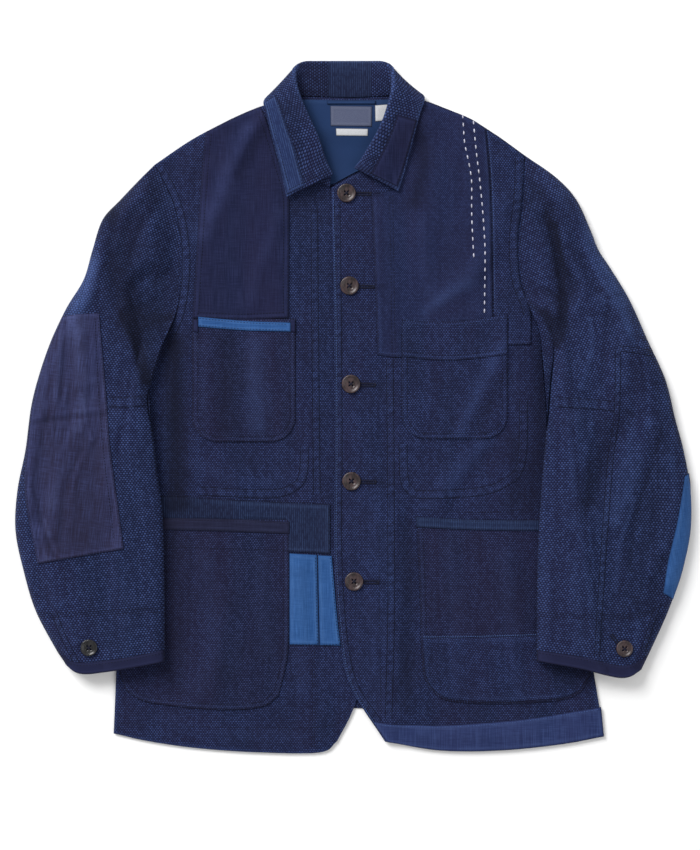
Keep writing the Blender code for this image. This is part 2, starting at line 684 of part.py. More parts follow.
def left_patches(front, looks):
    """What is sewn on the wearer's left front."""
    sashiko, slub, stripe, hem = looks
    on_pocket = GAP + PATCH_WALL + GAP
    chest = [(371.5, 198), (375, 280), (377.5, 355.5), (400.6, 357.5), (400.6, 318.2), (450, 319.8),
             (492.2, 313), (490, 200), (485, 135), (484, 110), (430, 80), (414, 110), (403, 178), (398, 190)]
    front.sewn_on("chest_patch_left", chest, slub)
    side = [(485.8, 110), (485.8, 135), (490.8, 200), (493, 313), (508.4, 311), (508.4, 345.5),
            (531, 345), (531.4, 309), (545, 300), (560, 150), (520, 110)]
    front.sewn_on("side_patch_left", side, sashiko)
    front.sewn_on("chest_pocket_left", rounded(401.5, 319, 507.5, 439, 25, 2.0), sashiko)
    band = [(402, 321), (450, 323), (507, 314), (507, 356), (450, 361.5), (402, 357.5)]
    front.sewn_on("chest_band_left", band, sashiko, 0.7, on_pocket)
    pocket = [(416.5, 517.5), (600, 518), (592, 560), (602, 660), (595, 681), (585, 690), (565, 699),
              (500, 702), (450, 699.5), (436, 693), (427, 683), (422, 665), (420, 600)]
    front.sewn_on("lower_pocket_left", pocket, sashiko)
    mouth = [(416.5, 516), (480, 519), (580, 520), (580, 530), (480, 529.5), (416.5, 527)]
    front.sewn_on("lower_binding_left", mouth, stripe, BINDING_WALL, on_pocket)
    foot = [(422.5, 637), (470, 636.5), (540, 634.5), (592, 634), (599, 660), (592, 680), (583, 688),
            (564, 697), (500, 700), (451, 697.5), (438, 691.5), (429, 682), (424, 665)]
    front.sewn_on("pocket_foot_left", foot, slub, 0.7, on_pocket)
    band = [(385, 722), (415, 724), (450, 724), (525, 718), (610, 706), (640, 760), (400, 765), (391, 741)]
    front.sewn_on("hem_band_left", band, hem)


def main():
    clear()
    sashiko = material("sashiko", SASHIKO)
    slub = material("slub_indigo", SLUB)
    stripe = material("striped_slub", STRIPE)
    bright = material("bright_blue", BRIGHT)
    purple = material("purple_brown", PURPLE)
    lining = material("blue_lining", LINING, 0.8)
    navy = material("navy_twill", NAVY)
    hem = material("hem_blue", HEM_BLUE)
    label = material("grey_label", LABEL, 0.6)
    white = material("white_label", WHITE, 0.7)
    horn = material("horn", HORN, 0.45)
    black = material("black_horn", BLACK_HORN, 0.25)

    back = back_panel(sashiko)
    right = front_right(sashiko)
    left = front_left(sashiko)
    neck_inside(back, (lining, label, white))
    right_patches(right, (sashiko, slub, stripe, bright, purple))
    left_patches(left, (sashiko, slub, stripe, hem))
    collar(right, left, (sashiko, stripe, sashiko, slub))

    right_sleeve = sleeve(
        "right",
        ARMHOLE_RIGHT,
        RIGHT_OUTER,
        INNER_RIGHT,
        [(66, 663), (84, 672), (120, 668), (165.5, 660)],
        [(112, 235), (120, 280), (132, 320), (138.6, 358), (147.7, 381)],
        [(160, 300), (150, 345), (148, 372)],
        SIDE_RIGHT,
        RIGHT_SLEEVE_FOLDS,
        (sashiko, sashiko),
    )[1]
    left_sleeve = sleeve(
        "left",
        ARMHOLE_LEFT,
        LEFT_OUTER,
        INNER_LEFT,
        [(641, 668), (620, 676), (580, 667), (536, 659)],
        [(552, 215), (565, 260), (577.5, 287), (565, 320), (555, 350)],
        [(556, 240), (560, 290), (556, 330)],
        SIDE_LEFT,
        LEFT_SLEEVE_FOLDS,
        (sashiko, sashiko),
    )[1]
    elbow = [(101, 314), (109, 400), (126, 548), (40, 563), (26, 500), (20, 455), (5, 440), (5, 330), (60, 317)]
    right_sleeve.sewn_on("elbow_patch_right", elbow, purple)
    elbow = [(682, 476), (705, 470), (705, 560), (680, 606), (661, 592), (666, 559), (675, 520)]
    left_sleeve.sewn_on("elbow_patch_left", elbow, bright)
    cuff = [(60, 652), (80, 661), (120, 657), (170, 648), (170, 670), (120, 680), (60, 680)]
    right_sleeve.sewn_on("cuff_binding_right", cuff, navy, BINDING_WALL)
    cuff = [(530, 648), (580, 655), (620, 665), (650, 668), (650, 690), (530, 680)]
    left_sleeve.sewn_on("cuff_binding_left", cuff, navy, BINDING_WALL)

    places = [(346.5, 193.5), (349.5, 286), (351, 384), (351.5, 481), (354, 581)]
    for count, at in enumerate(places, 1):
        button(f"button_{count}", left, at, BUTTON_RADIUS, horn)
    button("cuff_button_right", right_sleeve, (92, 640), CUFF_BUTTON_RADIUS, black)
    button("cuff_button_left", left_sleeve, (621, 642), CUFF_BUTTON_RADIUS, horn)


main()
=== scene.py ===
"""Dresses the patched indigo work jacket, which lies flat with its front up.

Every cloth piece is a fine closed sheet on the form of its solid, with its creases, hems,
seams, stitches, weave, rubbed pale wear, painted highlight and painted shade. Plans and
surfaces are in millimetres and become metres in the meshes. Outlines are read from above in
plan units, with x to the right and y downwards.
Right and left are the wearer's, so the right front is at the left of the plan.
"""

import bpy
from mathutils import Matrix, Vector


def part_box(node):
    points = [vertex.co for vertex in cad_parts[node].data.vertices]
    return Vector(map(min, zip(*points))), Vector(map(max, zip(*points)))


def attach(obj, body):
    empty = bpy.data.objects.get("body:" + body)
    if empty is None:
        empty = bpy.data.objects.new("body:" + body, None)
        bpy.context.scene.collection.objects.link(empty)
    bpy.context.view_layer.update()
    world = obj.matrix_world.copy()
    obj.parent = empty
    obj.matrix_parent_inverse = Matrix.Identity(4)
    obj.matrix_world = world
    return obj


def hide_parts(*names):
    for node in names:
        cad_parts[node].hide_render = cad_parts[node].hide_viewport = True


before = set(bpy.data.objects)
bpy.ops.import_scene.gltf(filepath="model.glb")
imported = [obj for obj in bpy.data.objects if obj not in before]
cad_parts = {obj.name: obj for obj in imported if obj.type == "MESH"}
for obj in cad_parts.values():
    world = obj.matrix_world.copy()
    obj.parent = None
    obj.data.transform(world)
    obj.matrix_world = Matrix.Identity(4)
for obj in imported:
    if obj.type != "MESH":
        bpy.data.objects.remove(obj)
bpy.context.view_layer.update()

import logging
import math
from dataclasses import dataclass, field
from enum import Enum

import bpy
import numpy as np

LOG = logging.getLogger("jacket")

Line = tuple[tuple[float, float], ...]
Folds = tuple[tuple[float, float, Line], ...]
Colour = tuple[float, float, float]
Array = np.ndarray

UNIT_MM = 1.08
CENTRE = (353.0, 407.0)

BACK_WALL = 1.5
FRONT_WALL = 1.6
SLEEVE_WALL = 1.6
COLLAR_WALL = 2.2
PATCH_WALL = 1.1
GAP = 0.3
FRONT_REST = 1.9
FRONT_LOFT = 1.9
OVERLAP_RISE = 2.3
SLEEVE_ON_BODY = 8.4
SLEEVE_LOFT = 16.2
SLEEVE_RIM = 17.0
PIT_DEPTH = 9.0
# Tone per millimetre of fold height: rubbed pale with painted highlight on fold ridges, painted
# shade in fold grooves.
FADE_AND_SHADE_PER_MM = 0.035
MOST_STEEP = 0.6
PANEL_ROUND = (0.42, 0.08)
PATCH_ROUND = (0.55, 0.05)
HEM_RINGS = (0.0, 1.0, 0.7)
HEM_SWELL = 0.25
TUCKED_WALL = 0.25
SEWN_GAP = 0.06
# Tone per unit of bend: painted shade in grooves, rubbed pale with painted highlight on ridges.
TONE_PER_BEND = 4.0
MOST_BEND_TONE = 0.3
COLLAR_THIN_END = 0.45
MOST_TILT = 0.15
HOLE_RADIUS = 1.05
HOLE_RING = 2.3
DRILL_SIDES = 12
SEAM_RISE = 0.35
PER_METRE = 0.001


class Side(Enum):
    """Which of the wearer's sides a piece is on; the value is its direction along X."""

    RIGHT = -1.0
    LEFT = 1.0


class Weave(Enum):
    """How a cloth is woven."""

    RICE = "rice"
    SLUB = "slub"
    STRIPE = "stripe"
    TWILL = "twill"


# Plan and grids


def plan(points: Line | Array) -> Array:
    """Plan units to millimetres, with y turned to point at the collar."""
    return (np.asarray(points, float) - CENTRE) * (UNIT_MM, -UNIT_MM)


def ease(value: Array) -> Array:
    """Soft step from 0 to 1: 3t^2 - 2t^3."""
    value = np.clip(value, 0, 1)
    return value * value * (3 - 2 * value)


def smooth(points: Line | Array, per: int = 10) -> Array:
    """Catmull-Rom line through the points.

    Args:
        points: rows of coordinates, of any width.
        per: steps from each point to the next.

    Returns:
        Rows of coordinates on the smooth line.
    """
    points = np.asarray(points, float)
    if len(points) < 3:
        return points
    ends = np.vstack([2 * points[0] - points[1], points, 2 * points[-1] - points[-2]])
    t = np.linspace(0, 1, per, endpoint=False)[:, None]
    spans = []
    for a, b, c, d in zip(ends[:-3], ends[1:-2], ends[2:-1], ends[3:]):
        linear = (c - a) * t
        square = (2 * a - 5 * b + 4 * c - d) * t**2
        cube = (3 * b - a - 3 * c + d) * t**3
        spans.append(0.5 * (2 * b + linear + square + cube))
    return np.vstack([*spans, points[-1:]])


def lengths_along(line: Array) -> Array:
    """Length from the first point of a line to each of its points."""
    return np.concatenate([[0.0], np.cumsum(np.linalg.norm(np.diff(line, axis=0), axis=1))])


def cut_at(line: Array, shares: Array) -> Array:
    """Points at shares, from 0 to 1, of a line's length."""
    along = lengths_along(line)
    at = shares * along[-1]
    return np.column_stack([np.interp(at, along, line[:, k]) for k in range(line.shape[1])])


def near(points: Array, line: Array) -> tuple[Array, Array]:
    """Distance to a line of points, and the length along it of the nearest place."""
    flat = points.reshape(-1, 2)
    best = np.full(len(flat), np.inf)
    along = np.zeros(len(flat))
    start = 0.0
    for a, b in zip(line[:-1], line[1:]):
        ahead = b - a
        size = float(np.linalg.norm(ahead))
        share = np.clip((flat - a) @ ahead / max(size * size, 1e-9), 0, 1)
        gap = np.linalg.norm(flat - a - share[:, None] * ahead, axis=1)
        closer = gap < best
        best = np.where(closer, gap, best)
        along = np.where(closer, start + share * size, along)
        start += size
    return best.reshape(points.shape[:-1]), along.reshape(points.shape[:-1])


def distance(points: Array, line: Array) -> Array:
    """Shortest distance from each point to a line of points."""
    return near(points, line)[0]


def right_of(points: Array, line: Array) -> Array:
    """Distance from a line that runs down the plan, positive on its +X side."""
    order = np.argsort(line[:, 1])
    return points[..., 0] - np.interp(points[..., 1], line[order, 1], line[order, 0])


def inside(points: Array, ring: Array) -> Array:
    """Whether each point is inside a closed ring, by counting the edges it lies left of."""
    x, y = points[..., 0], points[..., 1]
    within = np.zeros(x.shape, bool)
    for (x0, y0), (x1, y1) in zip(ring, np.roll(ring, -1, axis=0)):
        spans = (y0 > y) != (y1 > y)
        across = x0 + (y - y0) * (x1 - x0) / (y1 - y0 if y1 != y0 else 1e-9)
        within ^= spans & (x < across)
    return within


def steps(length: float, cell: float, hem: float) -> Array:
    """Shares of a length: one short step at each end and equal ones between.

    Args:
        length: the whole length.
        cell: the length of the equal steps.
        hem: the length of the short steps.

    Returns:
        Shares from 0 to 1.
    """
    count = max(2, round((length - 2 * hem) / cell))
    inner = np.linspace(hem, length - hem, count + 1)
    return np.concatenate([[0.0], inner, [length]]) / length


def joined(pieces: tuple[Line, ...]) -> tuple[Array, Array]:
    """Smooth plan lines end to end, and the corners between them."""
    lines = [smooth(plan(piece)) for piece in pieces]
    whole = np.vstack([lines[0]] + [line[1:] for line in lines[1:]])
    corners = np.array([line[0] for line in lines[1:]]).reshape(-1, 2)
    return whole, corners


def edge_at(pieces: tuple[Line, ...], shares: Array) -> Array:
    """Points at shares of joined plan lines, with the corners kept."""
    whole, corners = joined(pieces)
    points = cut_at(whole, shares)
    for corner in corners:
        nearest = 1 + np.argmin(np.linalg.norm(points[1:-1] - corner, axis=1))
        points[nearest] = corner
    return points


@dataclass(frozen=True)
class Outline:
    """Four edges of a piece in the plan, each of one or more smooth lines.

    top and bottom run from the plan's left to its right; left and right run downwards.
    """

    top: tuple[Line, ...]
    bottom: tuple[Line, ...]
    left: tuple[Line, ...]
    right: tuple[Line, ...]

    def grid(self, cell: float, hem: float = 0.9) -> Array:
        """Grid between the edges: ruled both ways, less the ruled corners.

        Args:
            cell: the side of a cell in millimetres.
            hem: the width of the outermost ring of cells.

        Returns:
            Rows from top to bottom of points in millimetres.
        """
        wide = max(lengths_along(joined(e)[0])[-1] for e in (self.top, self.bottom))
        high = max(lengths_along(joined(e)[0])[-1] for e in (self.left, self.right))
        across, down = steps(wide, cell, hem), steps(high, cell, hem)
        top, bottom = edge_at(self.top, across), edge_at(self.bottom, across)
        left, right = edge_at(self.left, down), edge_at(self.right, down)
        left[0], left[-1], right[0], right[-1] = top[0], bottom[0], top[-1], bottom[-1]
        v = down[:, None, None]
        u = across[None, :, None]
        ruled = (1 - v) * top[None] + v * bottom[None]
        ruled = ruled + (1 - u) * left[:, None] + u * right[:, None]
        upper = (1 - v) * ((1 - u) * top[0] + u * top[-1])
        lower = v * ((1 - u) * bottom[0] + u * bottom[-1])
        return ruled - upper - lower

    def edges(self) -> list[Array]:
        """The four edges as lines in millimetres: top, right, bottom, left."""
        return [joined(e)[0] for e in (self.top, self.right, self.bottom, self.left)]


def strip(top: Line, bottom: Line) -> Outline:
    """A piece between two lines, with straight ends."""
    return Outline((top,), (bottom,), ((top[0], bottom[0]),), ((top[-1], bottom[-1]),))


# The body's lines

SHOULDER_RIGHT: Line = (
    (155, 165), (192, 140), (230, 120), (250, 111), (262, 106.5), (275, 104), (289, 98)
)
SHOULDER_LEFT: Line = (
    (401, 98), (412, 102.5), (426, 102), (451, 111), (472, 120), (500, 138), (525, 156)
)
NECK_RIGHT: Line = ((289, 98), (286, 118), (292, 146), (307, 172), (330.5, 188))
NECK_LEFT: Line = (
    (401, 98), (406, 118), (401, 143), (386, 162), (358, 174), (348, 179), (331.5, 188)
)
ARMHOLE_RIGHT: Line = ((155, 165), (172, 200), (180, 235), (182, 270), (177, 310), (164, 343))
ARMHOLE_LEFT: Line = ((525, 156), (522, 200), (517.5, 240), (520, 280), (531, 310), (550, 326))
SIDE_RIGHT: Line = (
    (164, 343), (151, 365), (142, 400), (133, 450), (125, 530), (119, 620), (114, 733)
)
SIDE_LEFT: Line = (
    (550, 326), (556, 360), (559, 400), (565, 470), (575, 550), (590, 650), (604, 736)
)
INNER_RIGHT: Line = (
    (164, 343), (155, 372), (149, 400), (154, 436), (158, 473), (163, 512), (165, 578),
    (165.5, 660),
)
INNER_LEFT: Line = (
    (550, 326), (553, 352), (550, 380), (545, 440), (540, 500), (537, 560), (536, 659)
)
OUTER_RIGHT: Line = (
    (155, 165), (140, 180), (121, 200), (103, 220), (93, 250), (84, 280), (66, 310), (48, 350),
    (33, 400), (26, 450), (18, 490), (16, 530), (24, 570), (36, 610), (56, 648), (66, 663),
)
OUTER_LEFT: Line = (
    (525, 156), (556, 178), (576, 200), (590, 230), (598, 250), (611, 270), (629, 300), (647, 340),
    (665, 380), (675, 420), (683, 450), (690, 490), (690, 530), (682, 570), (668, 610), (651, 648),
    (641, 668),
)
CUFF_RIGHT: Line = ((66, 663), (84, 672), (120, 668), (165.5, 660))
CUFF_LEFT: Line = ((536, 659), (580, 667), (620, 676), (641, 668))

# Folds

RIGHT_FRONT_FOLDS: Folds = (
    (3.4, 11, ((262, 116), (235, 160), (205, 235))),
    (-1.6, 10, ((228, 128), (205, 160), (190, 200))),
    (2.2, 10, ((280, 215), (262, 262), (250, 305))),
    (-1.5, 10, ((226, 345), (224, 430))),
    (2.4, 12, ((252, 345), (256, 425))),
    (1.8, 10, ((205, 352), (208, 432))),
    (1.6, 9, ((190, 466), (250, 484), (300, 478))),
    (2.4, 14, ((205, 560), (215, 640), (200, 690))),
    (1.6, 12, ((262, 560), (268, 650))),
    (1.8, 10, ((300, 570), (306, 690))),
    (1.3, 10, ((160, 722), (240, 735), (300, 738))),
)
LEFT_FRONT_FOLDS: Folds = (
    (2.4, 12, ((505, 205), (480, 262), (440, 300))),
    (-1.3, 10, ((500, 262), (470, 300))),
    (1.8, 10, ((420, 215), (428, 290))),
    (3.0, 10, ((500, 352), (482, 395), (462, 432))),
    (-1.5, 9, ((488, 372), (476, 420))),
    (2.4, 11, ((482, 442), (455, 475), (428, 505))),
    (-1.4, 10, ((502, 432), (470, 480), (450, 512))),
    (2.2, 12, ((450, 545), (458, 620), (455, 690))),
    (2.2, 12, ((505, 560), (512, 640), (520, 695))),
    (-1.4, 9, ((409, 510), (412, 600), (408, 690))),
    (1.8, 11, ((385, 520), (388, 640))),
    (1.5, 10, ((420, 735), (500, 733), (560, 728))),
)
RIGHT_SLEEVE_FOLDS: Folds = (
    (3.0, 12, ((128, 190), (104, 245), (88, 300))),
    (-3.2, 9, ((112, 215), (110, 262), (122, 300))),
    (4.2, 12, ((88, 262), (78, 318), (88, 380))),
    (2.8, 10, ((75, 430), (58, 478), (52, 530))),
    (-3.0, 9, ((48, 420), (38, 470), (40, 520))),
    (2.4, 10, ((118, 415), (110, 450), (112, 490))),
    (2.0, 9, ((50, 560), (60, 600), (76, 640))),
    (-2.2, 8, ((38, 580), (52, 618))),
    (2.0, 10, ((118, 545), (128, 600), (130, 650))),
)
LEFT_SLEEVE_FOLDS: Folds = (
    (3.0, 12, ((560, 190), (588, 245), (606, 300))),
    (-3.2, 9, ((575, 205), (580, 250), (596, 290))),
    (3.6, 12, ((622, 262), (628, 320), (622, 380))),
    (-3.6, 11, ((628, 415), (608, 455), (592, 500))),
    (3.2, 11, ((650, 425), (636, 470), (616, 520))),
    (2.6, 10, ((668, 460), (668, 520), (650, 570))),
    (2.2, 10, ((575, 420), (572, 470), (570, 520))),
    (-2.2, 8, ((660, 560), (650, 610))),
    (2.0, 10, ((570, 560), (575, 610), (580, 650))),
)
# The small creases between the folds
RIGHT_FRONT_CREASES: Folds = (
    (-0.9, 5, ((268, 122), (252, 148), (240, 178))),
    (0.7, 5, ((215, 130), (200, 150), (186, 180))),
    (-0.6, 4, ((196, 150), (186, 178), (182, 215))),
    (0.6, 5, ((240, 205), (232, 250), (236, 300))),
    (-0.5, 5, ((214, 225), (212, 280), (216, 312))),
    (0.6, 5, ((272, 232), (268, 285), (272, 314))),
    (-0.7, 5, ((240, 342), (241, 385), (236, 425))),
    (0.5, 4, ((216, 348), (213, 390), (216, 432))),
    (-0.6, 4, ((276, 345), (279, 400), (274, 428))),
    (-0.6, 4, ((212, 452), (250, 463), (290, 462))),
    (0.5, 4, ((198, 480), (240, 492), (280, 492))),
    (-0.6, 5, ((188, 545), (190, 610), (182, 660))),
    (0.6, 5, ((232, 545), (240, 605), (236, 670))),
    (-0.6, 5, ((252, 560), (250, 620), (256, 672))),
    (0.5, 4, ((166, 600), (172, 650), (160, 684))),
    (-0.5, 4, ((288, 658), (296, 700), (290, 730))),
    (0.5, 4, ((316, 655), (322, 700), (318, 735))),
)
LEFT_FRONT_CREASES: Folds = (
    (-0.8, 6, ((421, 130), (416, 170), (424, 205))),
    (0.6, 5, ((440, 140), (452, 190), (446, 240))),
    (-0.5, 5, ((460, 160), (458, 215), (470, 250))),
    (0.7, 5, ((468, 282), (446, 296), (424, 312))),
    (-0.7, 4, ((462, 296), (444, 308))),
    (0.6, 4, ((500, 150), (505, 200), (503, 245))),
    (-0.6, 4, ((512, 190), (508, 240), (512, 285))),
    (0.6, 4, ((426, 365), (430, 400), (424, 428))),
    (-0.6, 4, ((446, 366), (444, 398), (450, 425))),
    (0.6, 4, ((512, 320), (520, 360), (514, 410))),
    (-0.8, 5, ((516, 425), (514, 465), (520, 500))),
    (0.6, 4, ((498, 470), (482, 492), (460, 508))),
    (-0.6, 4, ((424, 452), (412, 478), (410, 505))),
    (0.6, 4, ((430, 545), (434, 600), (430, 640))),
    (-0.6, 5, ((478, 545), (482, 600), (476, 650))),
    (0.5, 4, ((525, 560), (528, 610), (536, 650))),
    (-0.5, 4, ((494, 650), (490, 680), (496, 696))),
    (0.5, 4, ((396, 440), (394, 500), (398, 560))),
    (-0.5, 4, ((362, 520), (366, 600), (362, 680))),
    (0.5, 4, ((372, 640), (380, 690), (392, 728))),
)
RIGHT_SLEEVE_CREASES: Folds = (
    (0.6, 3, ((36, 418), (70, 412.5), (108, 409.5))),
    (-0.5, 3, ((36, 424), (70, 418.5), (108, 415.5))),
    (0.7, 2.6, ((63, 324), (60, 380), (52, 430))),
    (-0.7, 2.6, ((68, 324), (65, 380), (57, 430))),
    (0.7, 2.6, ((73, 322), (70, 380), (66, 405))),
    (0.8, 2.6, ((84, 395), (89, 425), (94, 440))),
    (0.7, 2.6, ((32, 490), (38, 520), (48, 556))),
    (-0.7, 2.6, ((40, 500), (46, 530), (56, 556))),
    (0.7, 2.6, ((48, 520), (56, 545), (64, 558))),
    (1.2, 4, ((54, 596), (59, 603), (66, 600))),
    (1.4, 5, ((150, 190), (128, 215), (118, 250))),
    (-1.4, 5, ((160, 205), (140, 232), (128, 270))),
    (1.8, 4, ((178, 305), (160, 316), (144, 328))),
    (-2.0, 4, ((126, 312), (136, 340), (145, 376))),
    (-1.4, 5, ((172, 292), (150, 304), (132, 312))),
    (1.2, 4, ((174, 262), (154, 276), (136, 296))),
    (1.4, 5, ((95, 255), (88, 285), (72, 315))),
    (-1.2, 4, ((104, 268), (100, 300), (106, 322))),
    (1.0, 4, ((66, 335), (58, 380), (62, 425))),
    (-0.9, 4, ((74, 330), (70, 380), (72, 430))),
    (0.8, 3.5, ((82, 340), (80, 385), (83, 430))),
    (-0.9, 3.5, ((90, 335), (91, 380), (90, 428))),
    (0.8, 3.5, ((50, 365), (44, 410), (50, 445))),
    (1.0, 4, ((92, 440), (76, 478), (72, 525))),
    (-1.0, 4, ((84, 450), (66, 490), (62, 540))),
    (-0.9, 4, ((130, 410), (122, 450), (126, 500))),
    (0.9, 4, ((140, 420), (138, 470), (146, 520))),
    (0.9, 5, ((30, 480), (30, 520), (40, 560))),
    (-1.0, 4, ((70, 568), (82, 600), (96, 622))),
    (0.9, 4, ((88, 566), (98, 596), (104, 640))),
    (-0.8, 4, ((140, 560), (142, 600), (146, 640))),
    (0.8, 4, ((44, 620), (60, 636), (72, 655))),
    (-0.35, 3, ((38, 614), (80, 613), (125, 610), (165, 609))),
)
LEFT_SLEEVE_CREASES: Folds = (
    (1.4, 5, ((535, 178), (556, 205), (566, 240))),
    (-1.6, 6, ((538, 195), (552, 235), (560, 275))),
    (-2.0, 4, ((553, 228), (561, 275), (561, 320))),
    (1.3, 4, ((528, 300), (545, 306), (560, 318))),
    (-1.2, 4, ((532, 285), (550, 292), (566, 306))),
    (1.1, 4, ((590, 225), (600, 262), (614, 290))),
    (-1.2, 5, ((606, 300), (604, 340), (600, 385))),
    (1.2, 4, ((588, 320), (590, 350), (580, 388))),
    (-1.0, 4, ((572, 330), (570, 365), (566, 390))),
    (0.9, 4, ((640, 345), (648, 385), (646, 425))),
    (-1.0, 4, ((655, 385), (660, 425), (652, 455))),
    (1.0, 4, ((590, 425), (582, 465), (580, 515))),
    (-1.0, 4, ((560, 425), (556, 480), (558, 540))),
    (1.1, 4, ((632, 500), (618, 545), (614, 590))),
    (-1.1, 4, ((648, 470), (634, 520), (628, 570))),
    (0.8, 4, ((586, 530), (590, 570), (588, 605))),
    (-0.8, 4, ((550, 560), (553, 600), (552, 640))),
    (0.9, 4, ((628, 600), (636, 625), (630, 655))),
    (-0.8, 4, ((600, 618), (604, 640), (600, 662))),
    (-0.35, 3, ((538, 613), (580, 615), (625, 615), (655, 611))),
)
# Painted shade (negative) in the deepest folds, seams, buttonhole slits and where the sleeves
# and collar shade the fronts; pale (positive) along fold ridges, rubbed wear with painted
# highlight: strength, half width, line
RIGHT_FRONT_TONES: Folds = (
    # painted shadow of the right sleeve on the front
    (-1.0, 14, ((174, 345), (176, 430), (178, 500))),
    (-0.35, 14, ((226, 345), (226, 430))),
    (-0.45, 8, ((266, 122), (246, 158), (238, 176))),
    (0.35, 10, ((250, 132), (224, 190), (202, 240))),
    (-0.5, 14, ((170, 530), (176, 600), (172, 680))),
    (-0.35, 14, ((175, 505), (200, 509), (222, 514))),
    (-0.4, 8, ((292, 205), (330, 196))),
    (0.25, 12, ((256, 345), (258, 425))),
)
LEFT_FRONT_TONES: Folds = (
    (-0.6, 8, ((416, 120), (424, 160), (414, 205))),
    (0.3, 7, ((470, 284), (446, 296), (426, 312))),
    (0.2, 7, ((500, 350), (484, 376), (468, 412))),
    (-0.35, 8, ((508, 372), (486, 410), (480, 432))),
    (0.15, 8, ((492, 440), (470, 462), (450, 492))),
    (-0.45, 9, ((514, 440), (516, 480), (508, 505))),
    (-0.35, 10, ((405, 525), (407, 600), (405, 700))),
    (0.08, 22, ((372, 500), (374, 600), (380, 700))),
    # painted shadow of the left sleeve on the front
    (-0.55, 16, ((548, 350), (540, 430), (530, 500))),
    # painted shade in the buttonhole slits
    (-0.5, 3.5, ((358, 194), (380, 194.5))),
    (-0.5, 3.5, ((361, 287), (381, 287.5))),
    (-0.5, 3.5, ((362, 385), (382, 385.5))),
    (-0.5, 3.5, ((363, 482), (383, 482.5))),
    (-0.5, 3.5, ((365, 582), (385, 582.5))),
    (-0.6, 16, ((560, 668), (590, 672))),
)
RIGHT_SLEEVE_TONES: Folds = (
    (-0.45, 15, ((112, 215), (118, 265), (132, 318))),
    # painted shade in the armhole's deep wedge
    (-1.0, 6, ((128, 316), (137, 342), (146, 380))),
    (-0.8, 4, ((172, 316), (152, 322), (134, 332))),
    (-0.45, 34, ((140, 195), (140, 250), (148, 320))),
    (-0.35, 34, ((72, 450), (80, 500), (82, 540))),
    (-0.12, 5, ((34, 421), (70, 416), (106, 413))),
    (-0.4, 12, ((130, 318), (160, 322), (150, 350), (154, 400))),
    (0.4, 9, ((96, 262), (84, 300), (78, 330))),
    (0.3, 9, ((88, 400), (70, 460), (56, 500))),
    (-0.4, 10, ((130, 180), (112, 215))),
    (0.35, 8, ((170, 200), (150, 235), (145, 285))),
    (-0.3, 9, ((92, 590), (96, 625))),
    (-0.12, 3, ((38, 614), (80, 613), (125, 610), (165, 609))),
)
LEFT_SLEEVE_TONES: Folds = (
    (-0.45, 15, ((543, 190), (554, 235), (562, 280), (554, 335))),
    # painted shade in the armhole's deep wedge
    (-1.0, 5.5, ((552, 226), (560, 275), (561, 318), (556, 345))),
    (-0.7, 4, ((530, 306), (545, 318), (556, 338))),
    (-0.25, 22, ((640, 370), (655, 430), (652, 500), (638, 600))),
    (-0.6, 7, ((545, 312), (556, 330))),
    (0.3, 10, ((588, 225), (604, 262), (620, 300))),
    (-0.45, 11, ((606, 425), (592, 470), (582, 505))),
    (0.15, 9, ((632, 430), (620, 480), (602, 520))),
    (0.12, 8, ((594, 335), (584, 365))),
    (-0.3, 8, ((660, 590), (655, 620))),
    (-0.12, 3, ((538, 613), (580, 615), (625, 615), (655, 611))),
)


def folded(points: Array, lines: Folds) -> Array:
    """Sum of soft ridges and grooves: height times exp(-(distance / half width)^2)."""
    total = np.zeros(points.shape[:-1])
    for height, width, line in lines:
        total += height * np.exp(-((distance(points, smooth(plan(line), 6)) / width) ** 2))
    return total


def neck_rise(at: Array) -> Array:
    """How far the back and the fronts lift over the collar's fall."""
    fall = plan(((286, 116), (286, 96), (414, 96), (414, 116)))
    within = (at[..., 0] > fall[0, 0]) & (at[..., 0] < fall[2, 0]) & (at[..., 1] > fall[0, 1])
    gap = np.where(within, 0.0, distance(at, np.vstack([fall, fall[:1]])))
    return 2.8 * (1 - ease((gap - 10.0) / 26.0))


class Form:
    """A cloth wall as heights over the plan, with the tone that its folds give it: painted shade
    and highlight, and rubbing.
    """

    wall = 1.6
    tones: Folds = ()
    ridges: Folds = ()

    def under(self, at: Array) -> Array:
        """Height of the lower side."""
        raise NotImplementedError

    def top(self, at: Array) -> Array:
        """Height of the upper side: the lower one plus the wall, measured square to it."""
        low = self.under(at)
        slope_x = self.under(at + (0.5, 0.0)) - low
        slope_y = self.under(at + (0.0, 0.5)) - low
        steep = 1 / np.sqrt(1 + 4 * slope_x**2 + 4 * slope_y**2)
        return low + self.wall / np.maximum(steep, MOST_STEEP)

    def tone(self, at: Array) -> Array:
        """From -1, painted shade, to 1, rubbed pale with painted highlight: the listed tones plus a
        share of the folds.
        """
        return folded(at, self.tones) + FADE_AND_SHADE_PER_MM * folded(at, self.ridges)

    def highest(self, at: Array, reach: float) -> float:
        """The highest top within reach of a point."""
        ring = np.linspace(0, 2 * math.pi, 24, endpoint=False)
        radii = np.linspace(0, reach, 8)[:, None]
        disc = np.dstack([at[0] + radii * np.cos(ring), at[1] + radii * np.sin(ring)])
        return float(self.top(disc).max())


class BackForm(Form):
    """The back lies on the surface and rises a little over the collar's fall."""

    wall = BACK_WALL

    def under(self, at: Array) -> Array:
        """The neck's rise alone, so that the underside is flat."""
        return neck_rise(at)


